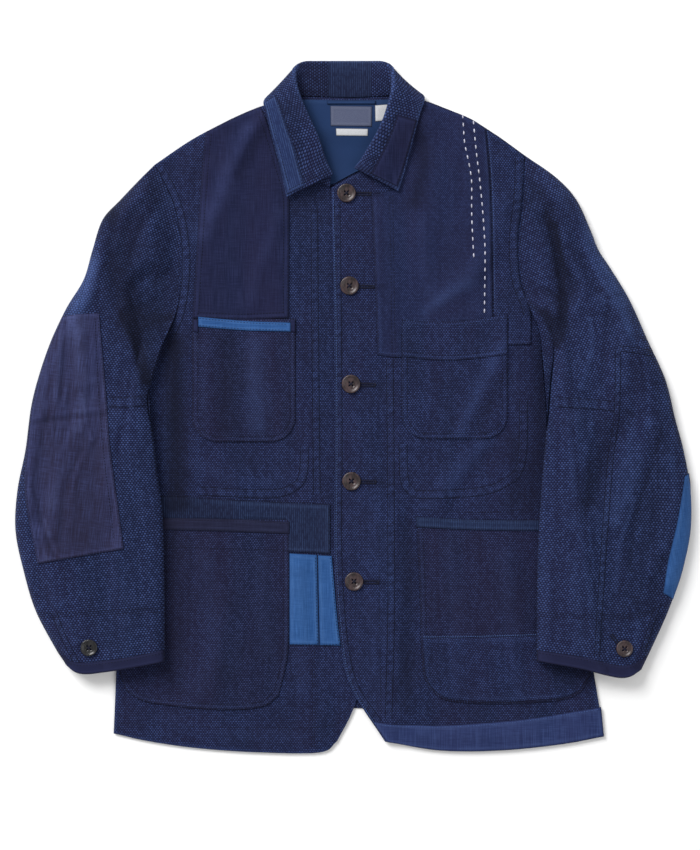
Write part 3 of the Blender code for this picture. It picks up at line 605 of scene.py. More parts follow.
class FrontForm(Form):
    """A front lies on the back, lofts a little off it and holds its own folds."""

    wall = FRONT_WALL

    def __init__(self, side: Side) -> None:
        """Args: side: which front it is."""
        self.side = side
        right = side is Side.RIGHT
        self.coarse = RIGHT_FRONT_FOLDS if right else LEFT_FRONT_FOLDS
        self.fine = RIGHT_FRONT_CREASES if right else LEFT_FRONT_CREASES
        self.tones = RIGHT_FRONT_TONES if right else LEFT_FRONT_TONES
        self.ridges = self.coarse + self.fine

    def under(self, at: Array) -> Array:
        """Rest height, the lap over the other front, the neck's rise, then loft and folds."""
        right = self.side is Side.RIGHT
        inner = plan(INNER_RIGHT if right else INNER_LEFT)
        side_gap = -self.side.value * right_of(at, inner)
        shoulder = distance(at, plan(SHOULDER_RIGHT if right else SHOULDER_LEFT))
        hem = plan(((60, 745), (650, 745)))
        loft = FRONT_LOFT * ease((side_gap - 4) / 28) * ease((distance(at, hem) - 14) / 40)
        if right:
            flat = 1 - ease((at[..., 0] - plan((296, 0))[0]) / 26)
            rest = FRONT_REST + 1.2 * neck_rise(at)
        else:
            flat = ease((at[..., 0] - plan((384, 0))[0]) / 28)
            from_neck = distance(at, plan(((401, 97), (406, 118))))
            lap = OVERLAP_RISE * (1 - flat) * ease((from_neck - 5) / 60)
            rest = FRONT_REST + lap + 1.2 * neck_rise(at)
        free = flat * ease(shoulder / 22) * ease((side_gap + 6) / 24)
        rise = loft + folded(at, self.coarse)
        small = folded(at, self.fine) * np.maximum(ease((rest - 1.7) / 0.8), 0.35)
        return rest + np.maximum(free * rise, 0) + np.maximum(small * ease(shoulder / 10), -0.25)


class UnderSleeveForm(Form):
    """The lower sleeve wall lies on the surface and drapes up over the body's side."""

    wall = SLEEVE_WALL

    def __init__(self, side: Side) -> None:
        """Args: side: which sleeve it is."""
        self.side = side
        self.body = plan(SIDE_RIGHT if side is Side.RIGHT else SIDE_LEFT)

    def under(self, at: Array) -> Array:
        """Zero beside the body, rising to the body's height within it."""
        off_body = self.side.value * right_of(at, smooth(self.body))
        above = ease((at[..., 1] - self.body[0, 1] - 8) / 30)
        return SLEEVE_ON_BODY * (1 - ease((off_body - 3) / 24)) * (1 - above)


class SleeveForm(Form):
    """The upper sleeve wall: full between its two rims, sunk by the armhole, with folds."""

    wall = SLEEVE_WALL

    def __init__(self, side: Side) -> None:
        """Args: side: which sleeve it is."""
        self.side = side
        self.rest = UnderSleeveForm(side)
        right = side is Side.RIGHT
        self.outer = smooth(plan(OUTER_RIGHT if right else OUTER_LEFT))
        self.inner = smooth(plan(INNER_RIGHT if right else INNER_LEFT))
        self.seam = smooth(plan(ARMHOLE_RIGHT if right else ARMHOLE_LEFT))
        crease = (
            ((112, 235), (120, 280), (132, 320), (138.6, 358), (147.7, 381))
            if right
            else ((552, 215), (565, 260), (577.5, 287), (565, 320), (555, 350))
        )
        pit = (
            ((160, 300), (150, 345), (148, 372))
            if right
            else ((556, 240), (560, 290), (556, 330))
        )
        self.crease = smooth(plan(crease))
        self.pit = smooth(plan(pit))
        self.coarse = RIGHT_SLEEVE_FOLDS if right else LEFT_SLEEVE_FOLDS
        self.fine = RIGHT_SLEEVE_CREASES if right else LEFT_SLEEVE_CREASES
        self.tones = RIGHT_SLEEVE_TONES if right else LEFT_SLEEVE_TONES
        self.ridges = self.coarse + self.fine

    def under(self, at: Array) -> Array:
        """A quarter round at each rim up to the loft, less the pit, plus the folds."""
        rim = np.minimum(distance(at, self.outer), distance(at, self.inner))
        hole = distance(at, self.seam)
        swell = np.sqrt(np.clip(1 - (1 - np.clip(rim / SLEEVE_RIM, 0, 1)) ** 2, 0, 1))
        inboard = -self.side.value * right_of(at, self.crease)
        sunk = ease((inboard + 6) / 15) * (1 - ease((distance(at, self.pit) - 24) / 22))
        loft = SLEEVE_LOFT * swell - PIT_DEPTH * sunk * swell
        loft = loft + folded(at, self.coarse) * ease((rim - 5) / 14)
        loft = loft + folded(at, self.fine) * ease((rim - 2) / 8)
        loft = FRONT_REST + (loft - FRONT_REST) * ease((hole - 2) / 30)
        base = self.rest.top(at) + GAP + 0.2
        height = np.maximum(loft, 0)
        return np.maximum(base + 0.55 * height * ease(rim / 1.5), height)


class RaisedForm(Form):
    """The outside of something sewn on another form."""

    def __init__(self, host: Form, lift: float) -> None:
        """Args: host: what it is sewn on. lift: how far its top stands over the host's."""
        self.host, self.lift = host, lift

    def under(self, at: Array) -> Array:
        """Height of the host's top."""
        return self.host.top(at)

    def top(self, at: Array) -> Array:
        """Height of the host's top and the lift."""
        return self.host.top(at) + self.lift

    def tone(self, at: Array) -> Array:
        """The host's tone, a little softer."""
        return 0.85 * self.host.tone(at)


# Shader groups


class Graph:
    """Short calls to add and link the nodes of one node tree."""

    def __init__(self, tree: bpy.types.NodeTree) -> None:
        """Args: tree: the node tree to fill."""
        self.tree = tree

    def node(self, kind: str, **settings: object) -> bpy.types.Node:
        """Add a node and set its properties."""
        made = self.tree.nodes.new(kind)
        for name, value in settings.items():
            setattr(made, name, value)
        return made

    def put(self, socket: bpy.types.NodeSocket, value: object) -> None:
        """Link an output to a socket, or set the socket's own value."""
        if isinstance(value, bpy.types.NodeSocket):
            self.tree.links.new(value, socket)
        else:
            socket.default_value = value

    def math(self, operation: str, *values: object, clamp: bool = False) -> bpy.types.NodeSocket:
        """A Math node's value."""
        made = self.node("ShaderNodeMath", operation=operation, use_clamp=clamp)
        for socket, value in zip(made.inputs, values):
            self.put(socket, value)
        return made.outputs[0]

    def vector(self, operation: str, *values: object) -> bpy.types.NodeSocket:
        """A Vector Math node's vector."""
        made = self.node("ShaderNodeVectorMath", operation=operation)
        for socket, value in zip(made.inputs, values):
            self.put(socket, value)
        return made.outputs[0]

    def split(self, value: bpy.types.NodeSocket) -> bpy.types.bpy_prop_collection:
        """The X, Y and Z of a vector."""
        made = self.node("ShaderNodeSeparateXYZ")
        self.put(made.inputs[0], value)
        return made.outputs

    def combine(self, x: object, y: object, z: object = 0.0) -> bpy.types.NodeSocket:
        """A vector of three values."""
        made = self.node("ShaderNodeCombineXYZ")
        for socket, value in zip(made.inputs, (x, y, z)):
            self.put(socket, value)
        return made.outputs[0]

    def noise(
        self, at: object, scale: float, detail: float = 2.0, rough: float = 0.5
    ) -> bpy.types.NodeSocket:
        """A Noise Texture's value."""
        made = self.node("ShaderNodeTexNoise")
        for name, value in (
            ("Vector", at), ("Scale", scale), ("Detail", detail), ("Roughness", rough)
        ):
            self.put(made.inputs[name], value)
        return made.outputs[0]

    def ramp(
        self, value: object, low: float, high: float, to_low: float = 0.0, to_high: float = 1.0
    ) -> bpy.types.NodeSocket:
        """A smooth Map Range from (low, high) to (to_low, to_high)."""
        made = self.node("ShaderNodeMapRange", interpolation_type="SMOOTHSTEP")
        for socket, given in zip(made.inputs, (value, low, high, to_low, to_high)):
            self.put(socket, given)
        return made.outputs[0]

    def mix(
        self, share: object, first: object, second: object, blend: str = "MIX"
    ) -> bpy.types.NodeSocket:
        """A colour mix."""
        made = self.node("ShaderNodeMix", data_type="RGBA", blend_type=blend)
        for index, value in ((0, share), (6, first), (7, second)):
            self.put(made.inputs[index], value)
        return made.outputs[2]

    def group(self, tree: bpy.types.NodeTree, **values: object) -> bpy.types.Node:
        """A group placed in this tree, its inputs named with _ for a space."""
        made = self.node("ShaderNodeGroup", node_tree=tree)
        for name, value in values.items():
            self.put(made.inputs[name.replace("_", " ")], value)
        return made


def new_group(
    name: str, inputs: dict[str, str], outputs: dict[str, str]
) -> tuple[Graph, bpy.types.Node, bpy.types.Node]:
    """An empty shader group.

    Args:
        name: the group's name.
        inputs: socket names and their types, VECTOR or VALUE.
        outputs: the same for what it puts out.

    Returns:
        Its graph, its input node and its output node.
    """
    tree = bpy.data.node_groups.new(name, "ShaderNodeTree")
    kinds = {"VECTOR": "NodeSocketVector", "VALUE": "NodeSocketFloat", "COLOUR": "NodeSocketColor"}
    for way, sockets in (("INPUT", inputs), ("OUTPUT", outputs)):
        for socket, kind in sockets.items():
            tree.interface.new_socket(socket, in_out=way, socket_type=kinds[kind])
    graph = Graph(tree)
    return graph, graph.node("NodeGroupInput"), graph.node("NodeGroupOutput")


class Effects:
    """The effects that several finishes share, each a shader group."""

    def __init__(self) -> None:
        """Build every group once."""
        self.rice = self.rice_weave()
        self.slub = self.slub_threads()
        self.stripes = self.fine_stripes()
        self.twill = self.twill_ribs()
        self.streaks = self.dye_streaks()
        self.wear_and_painted_light = self.rubbed_and_deep()
        self.crumple = self.crumpled()

    def rice_weave(self) -> bpy.types.NodeTree:
        """Grains in rows, each row half a pitch aside: a soft spot in each cell of a grid."""
        g, come, go = new_group(
            "rice_weave",
            {"Cloth": "VECTOR", "Pitch": "VALUE", "Row": "VALUE"},
            {"Grain": "VALUE", "Height": "VALUE"},
        )
        wave = g.noise(come.outputs["Cloth"], 160.0, 1.0)
        x, y, _ = g.split(come.outputs["Cloth"])
        line = g.noise(
            g.combine(g.math("MULTIPLY", x, 230.0), g.math("MULTIPLY", y, 9.0)), 1.0, 2.0, 0.6
        )
        slant = g.noise(
            g.combine(
                g.math("MULTIPLY", g.math("ADD", x, y), 150.0),
                g.math("MULTIPLY", g.math("SUBTRACT", x, y), 25.0)
            ), 1.0, 1.0
        )
        shown = g.math(
            "MULTIPLY", g.ramp(line, 0.36, 0.62, 0.78, 1.06), g.ramp(slant, 0.35, 0.65, 0.84, 1.06)
        )
        x = g.math("MULTIPLY_ADD", g.math("SUBTRACT", wave, 0.5), 0.0011, x)
        y = g.math("MULTIPLY_ADD", g.math("SUBTRACT", wave, 0.5), -0.0009, y)
        rows = g.math("DIVIDE", y, come.outputs["Row"])
        row = g.math("FLOOR", rows)
        aside = g.math("MULTIPLY", g.math("FLOORED_MODULO", row, 2.0), 0.5)
        columns = g.math("ADD", g.math("DIVIDE", x, come.outputs["Pitch"]), aside)
        column = g.math("FLOOR", columns)
        across = g.math("SUBTRACT", g.math("SUBTRACT", columns, column), 0.5)
        down = g.math("SUBTRACT", g.math("SUBTRACT", rows, row), 0.5)
        cell = g.node("ShaderNodeTexWhiteNoise", noise_dimensions="2D")
        g.put(cell.inputs["Vector"], g.combine(column, row))
        far = g.math(
            "SQRT",
            g.math(
                "ADD", g.math("MULTIPLY", across, across),
                g.math("MULTIPLY", g.math("MULTIPLY", down, down), 0.8)
            ),
        )
        spot = g.ramp(far, 0.5, 0.12)
        bright = g.math("MULTIPLY", shown, g.ramp(cell.outputs["Value"], 0.0, 1.0, 0.5, 1.1))
        g.put(go.inputs["Grain"], g.math("MULTIPLY", spot, bright))
        g.put(go.inputs["Height"], spot)
        return g.tree

    def slub_threads(self) -> bpy.types.NodeTree:
        """Uneven threads: noise stretched along the warp, and along the weft."""
        g, come, go = new_group(
            "slub_threads", {"Cloth": "VECTOR", "Thread": "VALUE"},
            {"Slub": "VALUE", "Height": "VALUE"}
        )
        x, y, _ = g.split(come.outputs["Cloth"])
        thin = g.math("DIVIDE", 1.0, come.outputs["Thread"])
        warp = g.noise(
            g.combine(
                g.math("MULTIPLY", x, thin), g.math("MULTIPLY", y, g.math("MULTIPLY", thin, 0.035))
            ), 1.0, 2.0
        )
        weft = g.noise(
            g.combine(
                g.math("MULTIPLY", x, g.math("MULTIPLY", thin, 0.06)), g.math("MULTIPLY", y, thin)
            ), 1.0, 2.0
        )
        both = g.math("ADD", g.math("MULTIPLY", warp, 0.62), g.math("MULTIPLY", weft, 0.38))
        g.put(go.inputs["Slub"], g.ramp(both, 0.38, 0.68))
        g.put(go.inputs["Height"], both)
        return g.tree

    def fine_stripes(self) -> bpy.types.NodeTree:
        """Thin pale warp threads at an uneven pitch, crossed by fainter weft ones."""
        g, come, go = new_group(
            "fine_stripes", {"Cloth": "VECTOR", "Pitch": "VALUE"},
            {"Stripe": "VALUE", "Height": "VALUE"}
        )
        x, y, _ = g.split(come.outputs["Cloth"])
        drift = g.noise(
            g.combine(g.math("MULTIPLY", x, 140.0), g.math("MULTIPLY", y, 14.0)), 1.0, 1.0
        )
        turns = g.math("MULTIPLY_ADD", drift, 1.1, g.math("DIVIDE", x, come.outputs["Pitch"]))
        wave = g.math("COSINE", g.math("MULTIPLY", turns, 2 * math.pi))
        broken = g.noise(
            g.combine(g.math("MULTIPLY", x, 500.0), g.math("MULTIPLY", y, 160.0)), 1.0, 2.0
        )
        stripe = g.math("MULTIPLY", g.ramp(wave, 0.25, 0.95), g.ramp(broken, 0.35, 0.6))
        weft = g.noise(
            g.combine(g.math("MULTIPLY", x, 60.0), g.math("MULTIPLY", y, 900.0)), 1.0, 1.0
        )
        g.put(go.inputs["Stripe"], g.math("MAXIMUM", stripe, g.ramp(weft, 0.55, 0.85, 0.0, 0.45)))
        g.put(go.inputs["Height"], g.math("ADD", g.math("MULTIPLY", wave, 0.5), weft))
        return g.tree

    def twill_ribs(self) -> bpy.types.NodeTree:
        """Close diagonal ribs: a sine across the diagonal."""
        g, come, go = new_group(
            "twill_ribs", {"Cloth": "VECTOR", "Pitch": "VALUE"}, {"Rib": "VALUE", "Height": "VALUE"}
        )
        x, y, _ = g.split(come.outputs["Cloth"])
        along = g.math("DIVIDE", g.math("ADD", x, y), come.outputs["Pitch"])
        rib = g.math(
            "MULTIPLY_ADD", g.math("SINE", g.math("MULTIPLY", along, 2 * math.pi)), 0.5, 0.5
        )
        g.put(go.inputs["Rib"], rib)
        g.put(go.inputs["Height"], rib)
        return g.tree

    def dye_streaks(self) -> bpy.types.NodeTree:
        """Soft streaks along the warp: noise stretched eight times, and a coarser cloud."""
        g, come, go = new_group(
            "dye_streaks", {"Cloth": "VECTOR", "Width": "VALUE"},
            {"Streak": "VALUE", "Cloud": "VALUE"}
        )
        x, y, _ = g.split(come.outputs["Cloth"])
        thin = g.math("DIVIDE", 1.0, come.outputs["Width"])
        at = g.combine(
            g.math("MULTIPLY", x, thin), g.math("MULTIPLY", y, g.math("MULTIPLY", thin, 0.13)), 3.7
        )
        g.put(go.inputs["Streak"], g.ramp(g.noise(at, 1.0, 3.0), 0.32, 0.68))
        g.put(
            go.inputs["Cloud"], g.ramp(g.noise(come.outputs["Cloth"], 22.0, 4.0, 0.6), 0.34, 0.66)
        )
        return g.tree

    def rubbed_and_deep(self) -> bpy.types.NodeTree:
        """Splits the tone painted on a piece into rubbed pale with painted highlight, broken up by
        noise, and painted shade.
        """
        g, come, go = new_group(
            "rubbed_and_deep", {"Cloth": "VECTOR", "Tone": "VALUE"},
            {"Rubbed": "VALUE", "PaintedShade": "VALUE"}
        )
        fleck = g.noise(come.outputs["Cloth"], 420.0, 3.0, 0.6)
        patchy = g.noise(come.outputs["Cloth"], 48.0, 2.0)
        broken = g.math("ADD", g.math("MULTIPLY", fleck, 0.9), g.math("MULTIPLY", patchy, 0.7))
        rubbed = g.math(
            "MULTIPLY", g.math("MAXIMUM", come.outputs["Tone"], 0.0),
            g.ramp(broken, 0.45, 1.1, 0.35, 1.25)
        )
        g.put(go.inputs["Rubbed"], g.math("MINIMUM", rubbed, 1.0))
        g.put(
            go.inputs["PaintedShade"],
            g.math(
                "MINIMUM", g.math("MAXIMUM", g.math("MULTIPLY", come.outputs["Tone"], -1.0), 0.0),
                1.0
            )
        )
        return g.tree

    def crumpled(self) -> bpy.types.NodeTree:
        """Height of the small unevenness of washed cloth, in millimetres."""
        g, come, go = new_group(
            "crumpled", {"Object": "VECTOR", "Depth": "VALUE"}, {"Height": "VALUE"}
        )
        broad = g.noise(come.outputs["Object"], 42.0, 2.0, 0.5)
        small = g.noise(come.outputs["Object"], 130.0, 2.0, 0.5)
        both = g.math("ADD", g.math("MULTIPLY", broad, 1.4), g.math("MULTIPLY", small, 0.45))
        g.put(go.inputs["Height"], g.math("MULTIPLY", both, come.outputs["Depth"]))
        return g.tree


# Finishes


def dye(red: float, green: float, blue: float) -> tuple[float, float, float, float]:
    """A dyed colour from its display values, 0 to 255, as linear light."""
    values = np.array([red, green, blue]) / 255
    linear = np.where(values <= 0.04045, values / 12.92, ((values + 0.055) / 1.055) ** 2.4)
    return (*[float(value) for value in linear], 1.0)


@dataclass(frozen=True)
class ClothFinish:
    """A woven cloth.

    Attributes:
        name: the material's name.
        slot: the record's material slot; not used.
        weave: how it is woven.
        ground: the dark thread.
        grain: the pale thread or spot.
        tint: what the streaks turn the ground to.
        rubbed: where it is worn, and the pale of the painted highlight.
        pitch: the weave's pitch across, in millimetres.
        row: the weave's pitch along, in millimetres.
        streak: how strong the streaks are.
        cover: how much of the pale thread shows.
        depth: the weave's relief in millimetres.
        crumple: the relief of its small creases in millimetres.
        rough: the shader's roughness.
    """

    name: str
    slot: str
    weave: Weave
    ground: Colour
    grain: Colour
    tint: Colour
    rubbed: Colour
    pitch: float = 2.8
    row: float = 1.9
    streak: float = 0.5
    cover: float = 1.0
    depth: float = 0.35
    crumple: float = 0.5
    rough: float = 0.88

    def build(self, effects: Effects) -> bpy.types.Material:
        """The material, from the shared effects and this cloth's values."""
        made = bpy.data.materials.new(self.name)
        made.use_nodes = True
        g = Graph(made.node_tree)
        shader = made.node_tree.nodes["Principled BSDF"]
        cloth = g.node("ShaderNodeUVMap", uv_map="cloth").outputs[0]
        place = g.node("ShaderNodeTexCoord").outputs["Object"]
        tone = g.node("ShaderNodeAttribute", attribute_name="tone").outputs["Fac"]
        pale, height = self.threads(g, effects, cloth)
        streaks = g.group(effects.streaks, Cloth=cloth, Width=0.034)
        wear_and_light = g.group(effects.wear_and_painted_light, Cloth=cloth, Tone=tone)
        ground = g.mix(
            g.math("MULTIPLY", streaks.outputs["Streak"], self.streak), dye(*self.ground),
            dye(*self.tint)
        )
        cloud = g.math("MULTIPLY_ADD", streaks.outputs["Cloud"], 0.3, 0.85)
        pale = g.math("MULTIPLY", g.math("MULTIPLY", pale, self.cover), cloud)
        colour = g.mix(pale, ground, dye(*self.grain))
        # Where the tone is positive: rubbed wear and painted highlight.
        rubbed = g.math(
            "MULTIPLY", wear_and_light.outputs["Rubbed"], g.math("MULTIPLY_ADD", height, 0.6, 0.4)
        )
        colour = g.mix(rubbed, colour, dye(*self.rubbed))
        # A near-black blue mixed in where the tone is negative: painted shade.
        colour = g.mix(g.math("MULTIPLY", wear_and_light.outputs["PaintedShade"], 0.72), colour, dye(12, 13, 27))
        g.put(shader.inputs["Base Color"], colour)
        rough = g.math("MULTIPLY_ADD", streaks.outputs["Cloud"], 0.1, self.rough - 0.05)
        g.put(shader.inputs["Roughness"], g.math("MINIMUM", rough, 1.0))
        shader.inputs["Specular IOR Level"].default_value = 0.1
        shader.inputs["Sheen Weight"].default_value = 0.02
        shader.inputs["Sheen Roughness"].default_value = 0.5
        crumple = g.group(effects.crumple, Object=place, Depth=self.crumple)
        total = g.math("ADD", g.math("MULTIPLY", height, self.depth), crumple.outputs["Height"])
        bump = g.node("ShaderNodeBump")
        bump.inputs["Strength"].default_value = 0.9
        bump.inputs["Distance"].default_value = 0.001
        g.put(bump.inputs["Height"], total)
        g.put(shader.inputs["Normal"], bump.outputs["Normal"])
        return made

    def threads(
        self, g: Graph, effects: Effects, cloth: bpy.types.NodeSocket
    ) -> tuple[bpy.types.NodeSocket, bpy.types.NodeSocket]:
        """The pale thread's mask and the weave's height, from 0 to 1."""
        pitch, row = self.pitch / 1000, self.row / 1000
        if self.weave is Weave.RICE:
            made = g.group(effects.rice, Cloth=cloth, Pitch=pitch, Row=row)
        elif self.weave is Weave.STRIPE:
            made = g.group(effects.stripes, Cloth=cloth, Pitch=pitch)
        elif self.weave is Weave.TWILL:
            made = g.group(effects.twill, Cloth=cloth, Pitch=pitch)
        else:
            made = g.group(effects.slub, Cloth=cloth, Thread=pitch)
        return made.outputs[0], made.outputs[1]


@dataclass(frozen=True)
class ThreadFinish:
    """A sewing thread."""

    name: str
    slot: str
    colour: Colour

    def build(self, effects: Effects) -> bpy.types.Material:
        """Twisted thread: the colour varied along it by fine noise, with a soft sheen."""
        made = bpy.data.materials.new(self.name)
        made.use_nodes = True
        g = Graph(made.node_tree)
        shader = made.node_tree.nodes["Principled BSDF"]
        place = g.node("ShaderNodeTexCoord").outputs["Object"]
        ply = g.ramp(g.noise(place, 900.0, 2.0), 0.3, 0.7)
        dark = tuple(0.72 * value for value in self.colour)
        g.put(shader.inputs["Base Color"], g.mix(ply, dye(*dark), dye(*self.colour)))
        g.put(shader.inputs["Roughness"], g.math("MULTIPLY_ADD", ply, 0.2, 0.6))
        shader.inputs["Specular IOR Level"].default_value = 0.2
        return made


@dataclass(frozen=True)
class HornFinish:
    """A polished horn button."""

    name: str
    slot: str
    dark: Colour
    light: Colour
    rough: float

    def build(self, effects: Effects) -> bpy.types.Material:
        """Cloudy horn: two colours mixed by stretched noise, with fine scratches."""
        made = bpy.data.materials.new(self.name)
        made.use_nodes = True
        g = Graph(made.node_tree)
        shader = made.node_tree.nodes["Principled BSDF"]
        place = g.node("ShaderNodeTexCoord").outputs["Object"]
        turned = g.vector("MULTIPLY", place, (1.0, 0.35, 1.0))
        cloud = g.ramp(g.noise(turned, 320.0, 4.0, 0.6), 0.3, 0.72)
        scratch = g.noise(place, 2600.0, 3.0, 0.7)
        g.put(shader.inputs["Base Color"], g.mix(cloud, dye(*self.dark), dye(*self.light)))
        g.put(shader.inputs["Roughness"], g.math("MULTIPLY_ADD", scratch, 0.25, self.rough - 0.1))
        shader.inputs["Specular IOR Level"].default_value = 0.5
        bump = g.node("ShaderNodeBump")
        bump.inputs["Strength"].default_value = 0.25
        bump.inputs["Distance"].default_value = 0.0003
        g.put(bump.inputs["Height"], scratch)
        g.put(shader.inputs["Normal"], bump.outputs["Normal"])
        return made


RICE_BODY = ClothFinish(
    "indigo_rice_cloth", "sashiko", Weave.RICE,
    (13, 17, 40), (53, 67, 112), (22, 18, 42), (62, 81, 133), streak=0.7,
)
RICE_SLEEVE = ClothFinish(
    "indigo_rice_sleeve", "sashiko", Weave.RICE,
    (13, 18, 43), (58, 74, 120), (22, 19, 46), (67, 88, 140), pitch=3.3, row=2.3, streak=0.7,
    depth=0.5, crumple=0.7,
)
RICE_DARK = ClothFinish(
    "dark_rice_cloth", "sashiko", Weave.RICE,
    (14, 17, 39), (50, 60, 100), (25, 19, 42), (62, 78, 124), streak=0.7,
)
RICE_FINE = ClothFinish(
    "fine_indigo_cloth", "slub_indigo", Weave.RICE,
    (16, 22, 49), (49, 60, 101), (25, 23, 50), (62, 79, 127), pitch=2.1, row=1.45, streak=0.7,
    depth=0.22,
)
SLUB_PURPLE = ClothFinish(
    "slub_indigo_cloth", "slub_indigo", Weave.SLUB,
    (20, 25, 52), (39, 44, 78), (26, 26, 53), (54, 62, 104), pitch=0.9, cover=0.6, streak=0.8,
    depth=0.25,
)
STRIPED = ClothFinish(
    "striped_indigo_cloth", "striped_slub", Weave.STRIPE,
    (22, 30, 56), (52, 70, 108), (27, 32, 58), (68, 88, 130), pitch=2.2, cover=0.55, depth=0.2,
)
STRIPED_PALE = ClothFinish(
    "striped_pale_cloth", "striped_slub", Weave.STRIPE,
    (30, 41, 76), (62, 84, 130), (34, 46, 84), (80, 104, 152), pitch=2.2, cover=0.5, depth=0.25,
)
STRIPED_BINDING = ClothFinish(
    "striped_binding_cloth", "striped_slub", Weave.STRIPE,
    (26, 35, 62), (52, 70, 108), (29, 38, 68), (68, 90, 132), pitch=2.2, cover=0.5, depth=0.25,
)
BRIGHT_BLUE = ClothFinish(
    "bright_blue_cloth", "bright_blue", Weave.SLUB,
    (34, 68, 118), (58, 98, 156), (38, 76, 128), (90, 130, 184), pitch=0.8, cover=0.6, depth=0.18,
)
PURPLE_BROWN = ClothFinish(
    "purple_brown_cloth", "purple_brown", Weave.SLUB,
    (34, 37, 67), (60, 67, 109), (37, 34, 57), (78, 88, 134), pitch=0.9, cover=0.6, streak=0.9,
    depth=0.18, crumple=0.9,
)
LOWER_BAND = ClothFinish(
    "dark_purple_cloth", "purple_brown", Weave.SLUB,
    (26, 28, 50), (42, 46, 74), (30, 26, 46), (54, 60, 94), pitch=0.9, cover=0.5, streak=0.8,
    depth=0.16,
)
LINING = ClothFinish(
    "blue_lining_cloth", "blue_lining", Weave.TWILL,
    (28, 48, 84), (40, 62, 102), (26, 42, 76), (60, 86, 130), pitch=1.3, cover=0.6, depth=0.12,
    crumple=0.3,
)
NAVY = ClothFinish(
    "navy_binding_cloth", "navy_twill", Weave.TWILL,
    (24, 27, 54), (38, 42, 74), (26, 26, 50), (54, 60, 98), pitch=1.2, cover=0.6, depth=0.12,
    crumple=0.3,
)
HEM_BLUE = ClothFinish(
    "hem_blue_cloth", "hem_blue", Weave.SLUB,
    (32, 42, 80), (54, 68, 112), (38, 44, 82), (80, 98, 146), pitch=1.0, cover=0.7, depth=0.2,
    crumple=0.7,
)
LABEL_GREY = ClothFinish(
    "grey_label_satin", "grey_label", Weave.TWILL,
    (66, 72, 98), (90, 96, 118), (66, 72, 98), (116, 122, 138), pitch=0.7, streak=0.2, depth=0.06,
    crumple=0.12, rough=0.6,
)
LABEL_WHITE = ClothFinish(
    "white_label_satin", "white_label", Weave.TWILL,
    (172, 174, 180), (206, 207, 210), (178, 178, 182), (220, 220, 222), pitch=0.7, streak=0.2,
    depth=0.05, crumple=0.1, rough=0.6,
)
NAVY_THREAD = ThreadFinish("navy_thread", "sashiko", (15, 18, 42))
BLUE_THREAD = ThreadFinish("blue_thread", "bright_blue", (74, 100, 156))
WHITE_THREAD = ThreadFinish("white_thread", "white_label", (206, 206, 226))
HORN = HornFinish("brown_horn", "horn", (24, 16, 17), (68, 51, 53), 0.34)
BLACK_HORN = HornFinish("polished_black_horn", "black_horn", (12, 12, 14), (40, 40, 44), 0.22)


# Making pieces


def finished_mesh(
    name: str, points: Array, faces: list[tuple[int, ...]], material: bpy.types.Material,
    sharp: float = 50
) -> bpy.types.Object:
    """A smooth-shaded object from points in millimetres, at the origin."""
    mesh = bpy.data.meshes.new(name)
    mesh.from_pydata((np.asarray(points) * 0.001).tolist(), [], faces)
    mesh.update()
    mesh.shade_smooth()
    mesh.set_sharp_from_angle(angle=math.radians(sharp))
    mesh.materials.append(material)
    made = bpy.data.objects.new(name, mesh)
    bpy.context.collection.objects.link(made)
    return made


def closed_faces(rows: int, columns: int) -> list[tuple[int, ...]]:
    """Faces of a closed sheet: an upper grid, a lower grid after it, and the wall round them."""
    index = np.arange(rows * columns).reshape(rows, columns)
    a, b = index[:-1, :-1].ravel(), index[:-1, 1:].ravel()
    c, d = index[1:, 1:].ravel(), index[1:, :-1].ravel()
    up = np.column_stack([a, d, c, b])
    low = rows * columns
    loop = np.concatenate([index[:-1, 0], index[-1, :-1], index[:0:-1, -1], index[0, :0:-1]])
    ahead = np.roll(loop, -1)
    wall = np.column_stack([loop, loop + low, ahead + low, ahead])
    return np.vstack([up, up[:, ::-1] + low, wall]).tolist()


def sewn_sheet(
    name: str, over: Array, under: Array, cloth: Array, tone: Array, material: bpy.types.Material
) -> bpy.types.Object:
    """One closed cloth sheet.

    Args:
        name: the piece's name.
        over: grid of points of its upper side, rows by columns by 3.
        under: the same for its lower side.
        cloth: grid of places in the weave, in millimetres.
        tone: grid from -1, painted shade, to 1, rubbed pale with painted highlight.
        material: its finish.

    Returns:
        The object, with the UV map "cloth" in metres and the attribute "tone".
    """
    rows, columns = over.shape[:2]
    points = np.vstack([over.reshape(-1, 3), under.reshape(-1, 3)])
    made = finished_mesh(name, points, closed_faces(rows, columns), material)
    mesh = made.data
    places = np.tile(cloth.reshape(-1, 2), (2, 1)) * PER_METRE
    corners = np.empty(len(mesh.loops), np.int32)
    mesh.loops.foreach_get("vertex_index", corners)
    layer = mesh.uv_layers.new(name="cloth")
    layer.data.foreach_set("uv", places[corners].astype(np.float32).ravel())
    attribute = mesh.attributes.new("tone", "FLOAT", "POINT")
    attribute.data.foreach_set("value", np.tile(tone.ravel(), 2).astype(np.float32))
    return made


def turned(at: Array, degrees: float) -> Array:
    """The plan's places turned about its middle, as a piece cut on another grain."""
    a = math.radians(degrees)
    x, y = at[..., 0], at[..., 1]
    return np.dstack([x * math.cos(a) + y * math.sin(a), y * math.cos(a) - x * math.sin(a)])


def down_the_arm(at: Array, centre: Line) -> Array:
    """Places in a sleeve's weave: the distance from its centre line, and the length down it."""
    line = smooth(plan(centre))
    gap, along = near(at, line)
    return np.dstack([gap * np.sign(right_of(at, line) + 1e-6), -along])


def rim_of(shape: tuple[int, int], rings: tuple[float, ...]) -> Array:
    """A value for each outermost ring of a grid, and 0 inside."""
    rows, columns = shape
    i = np.minimum(np.arange(rows), np.arange(rows)[::-1])[:, None]
    j = np.minimum(np.arange(columns), np.arange(columns)[::-1])[None, :]
    ring = np.minimum(i, j)
    table = np.array([*rings, 0.0])
    return table[np.minimum(ring, len(rings))]


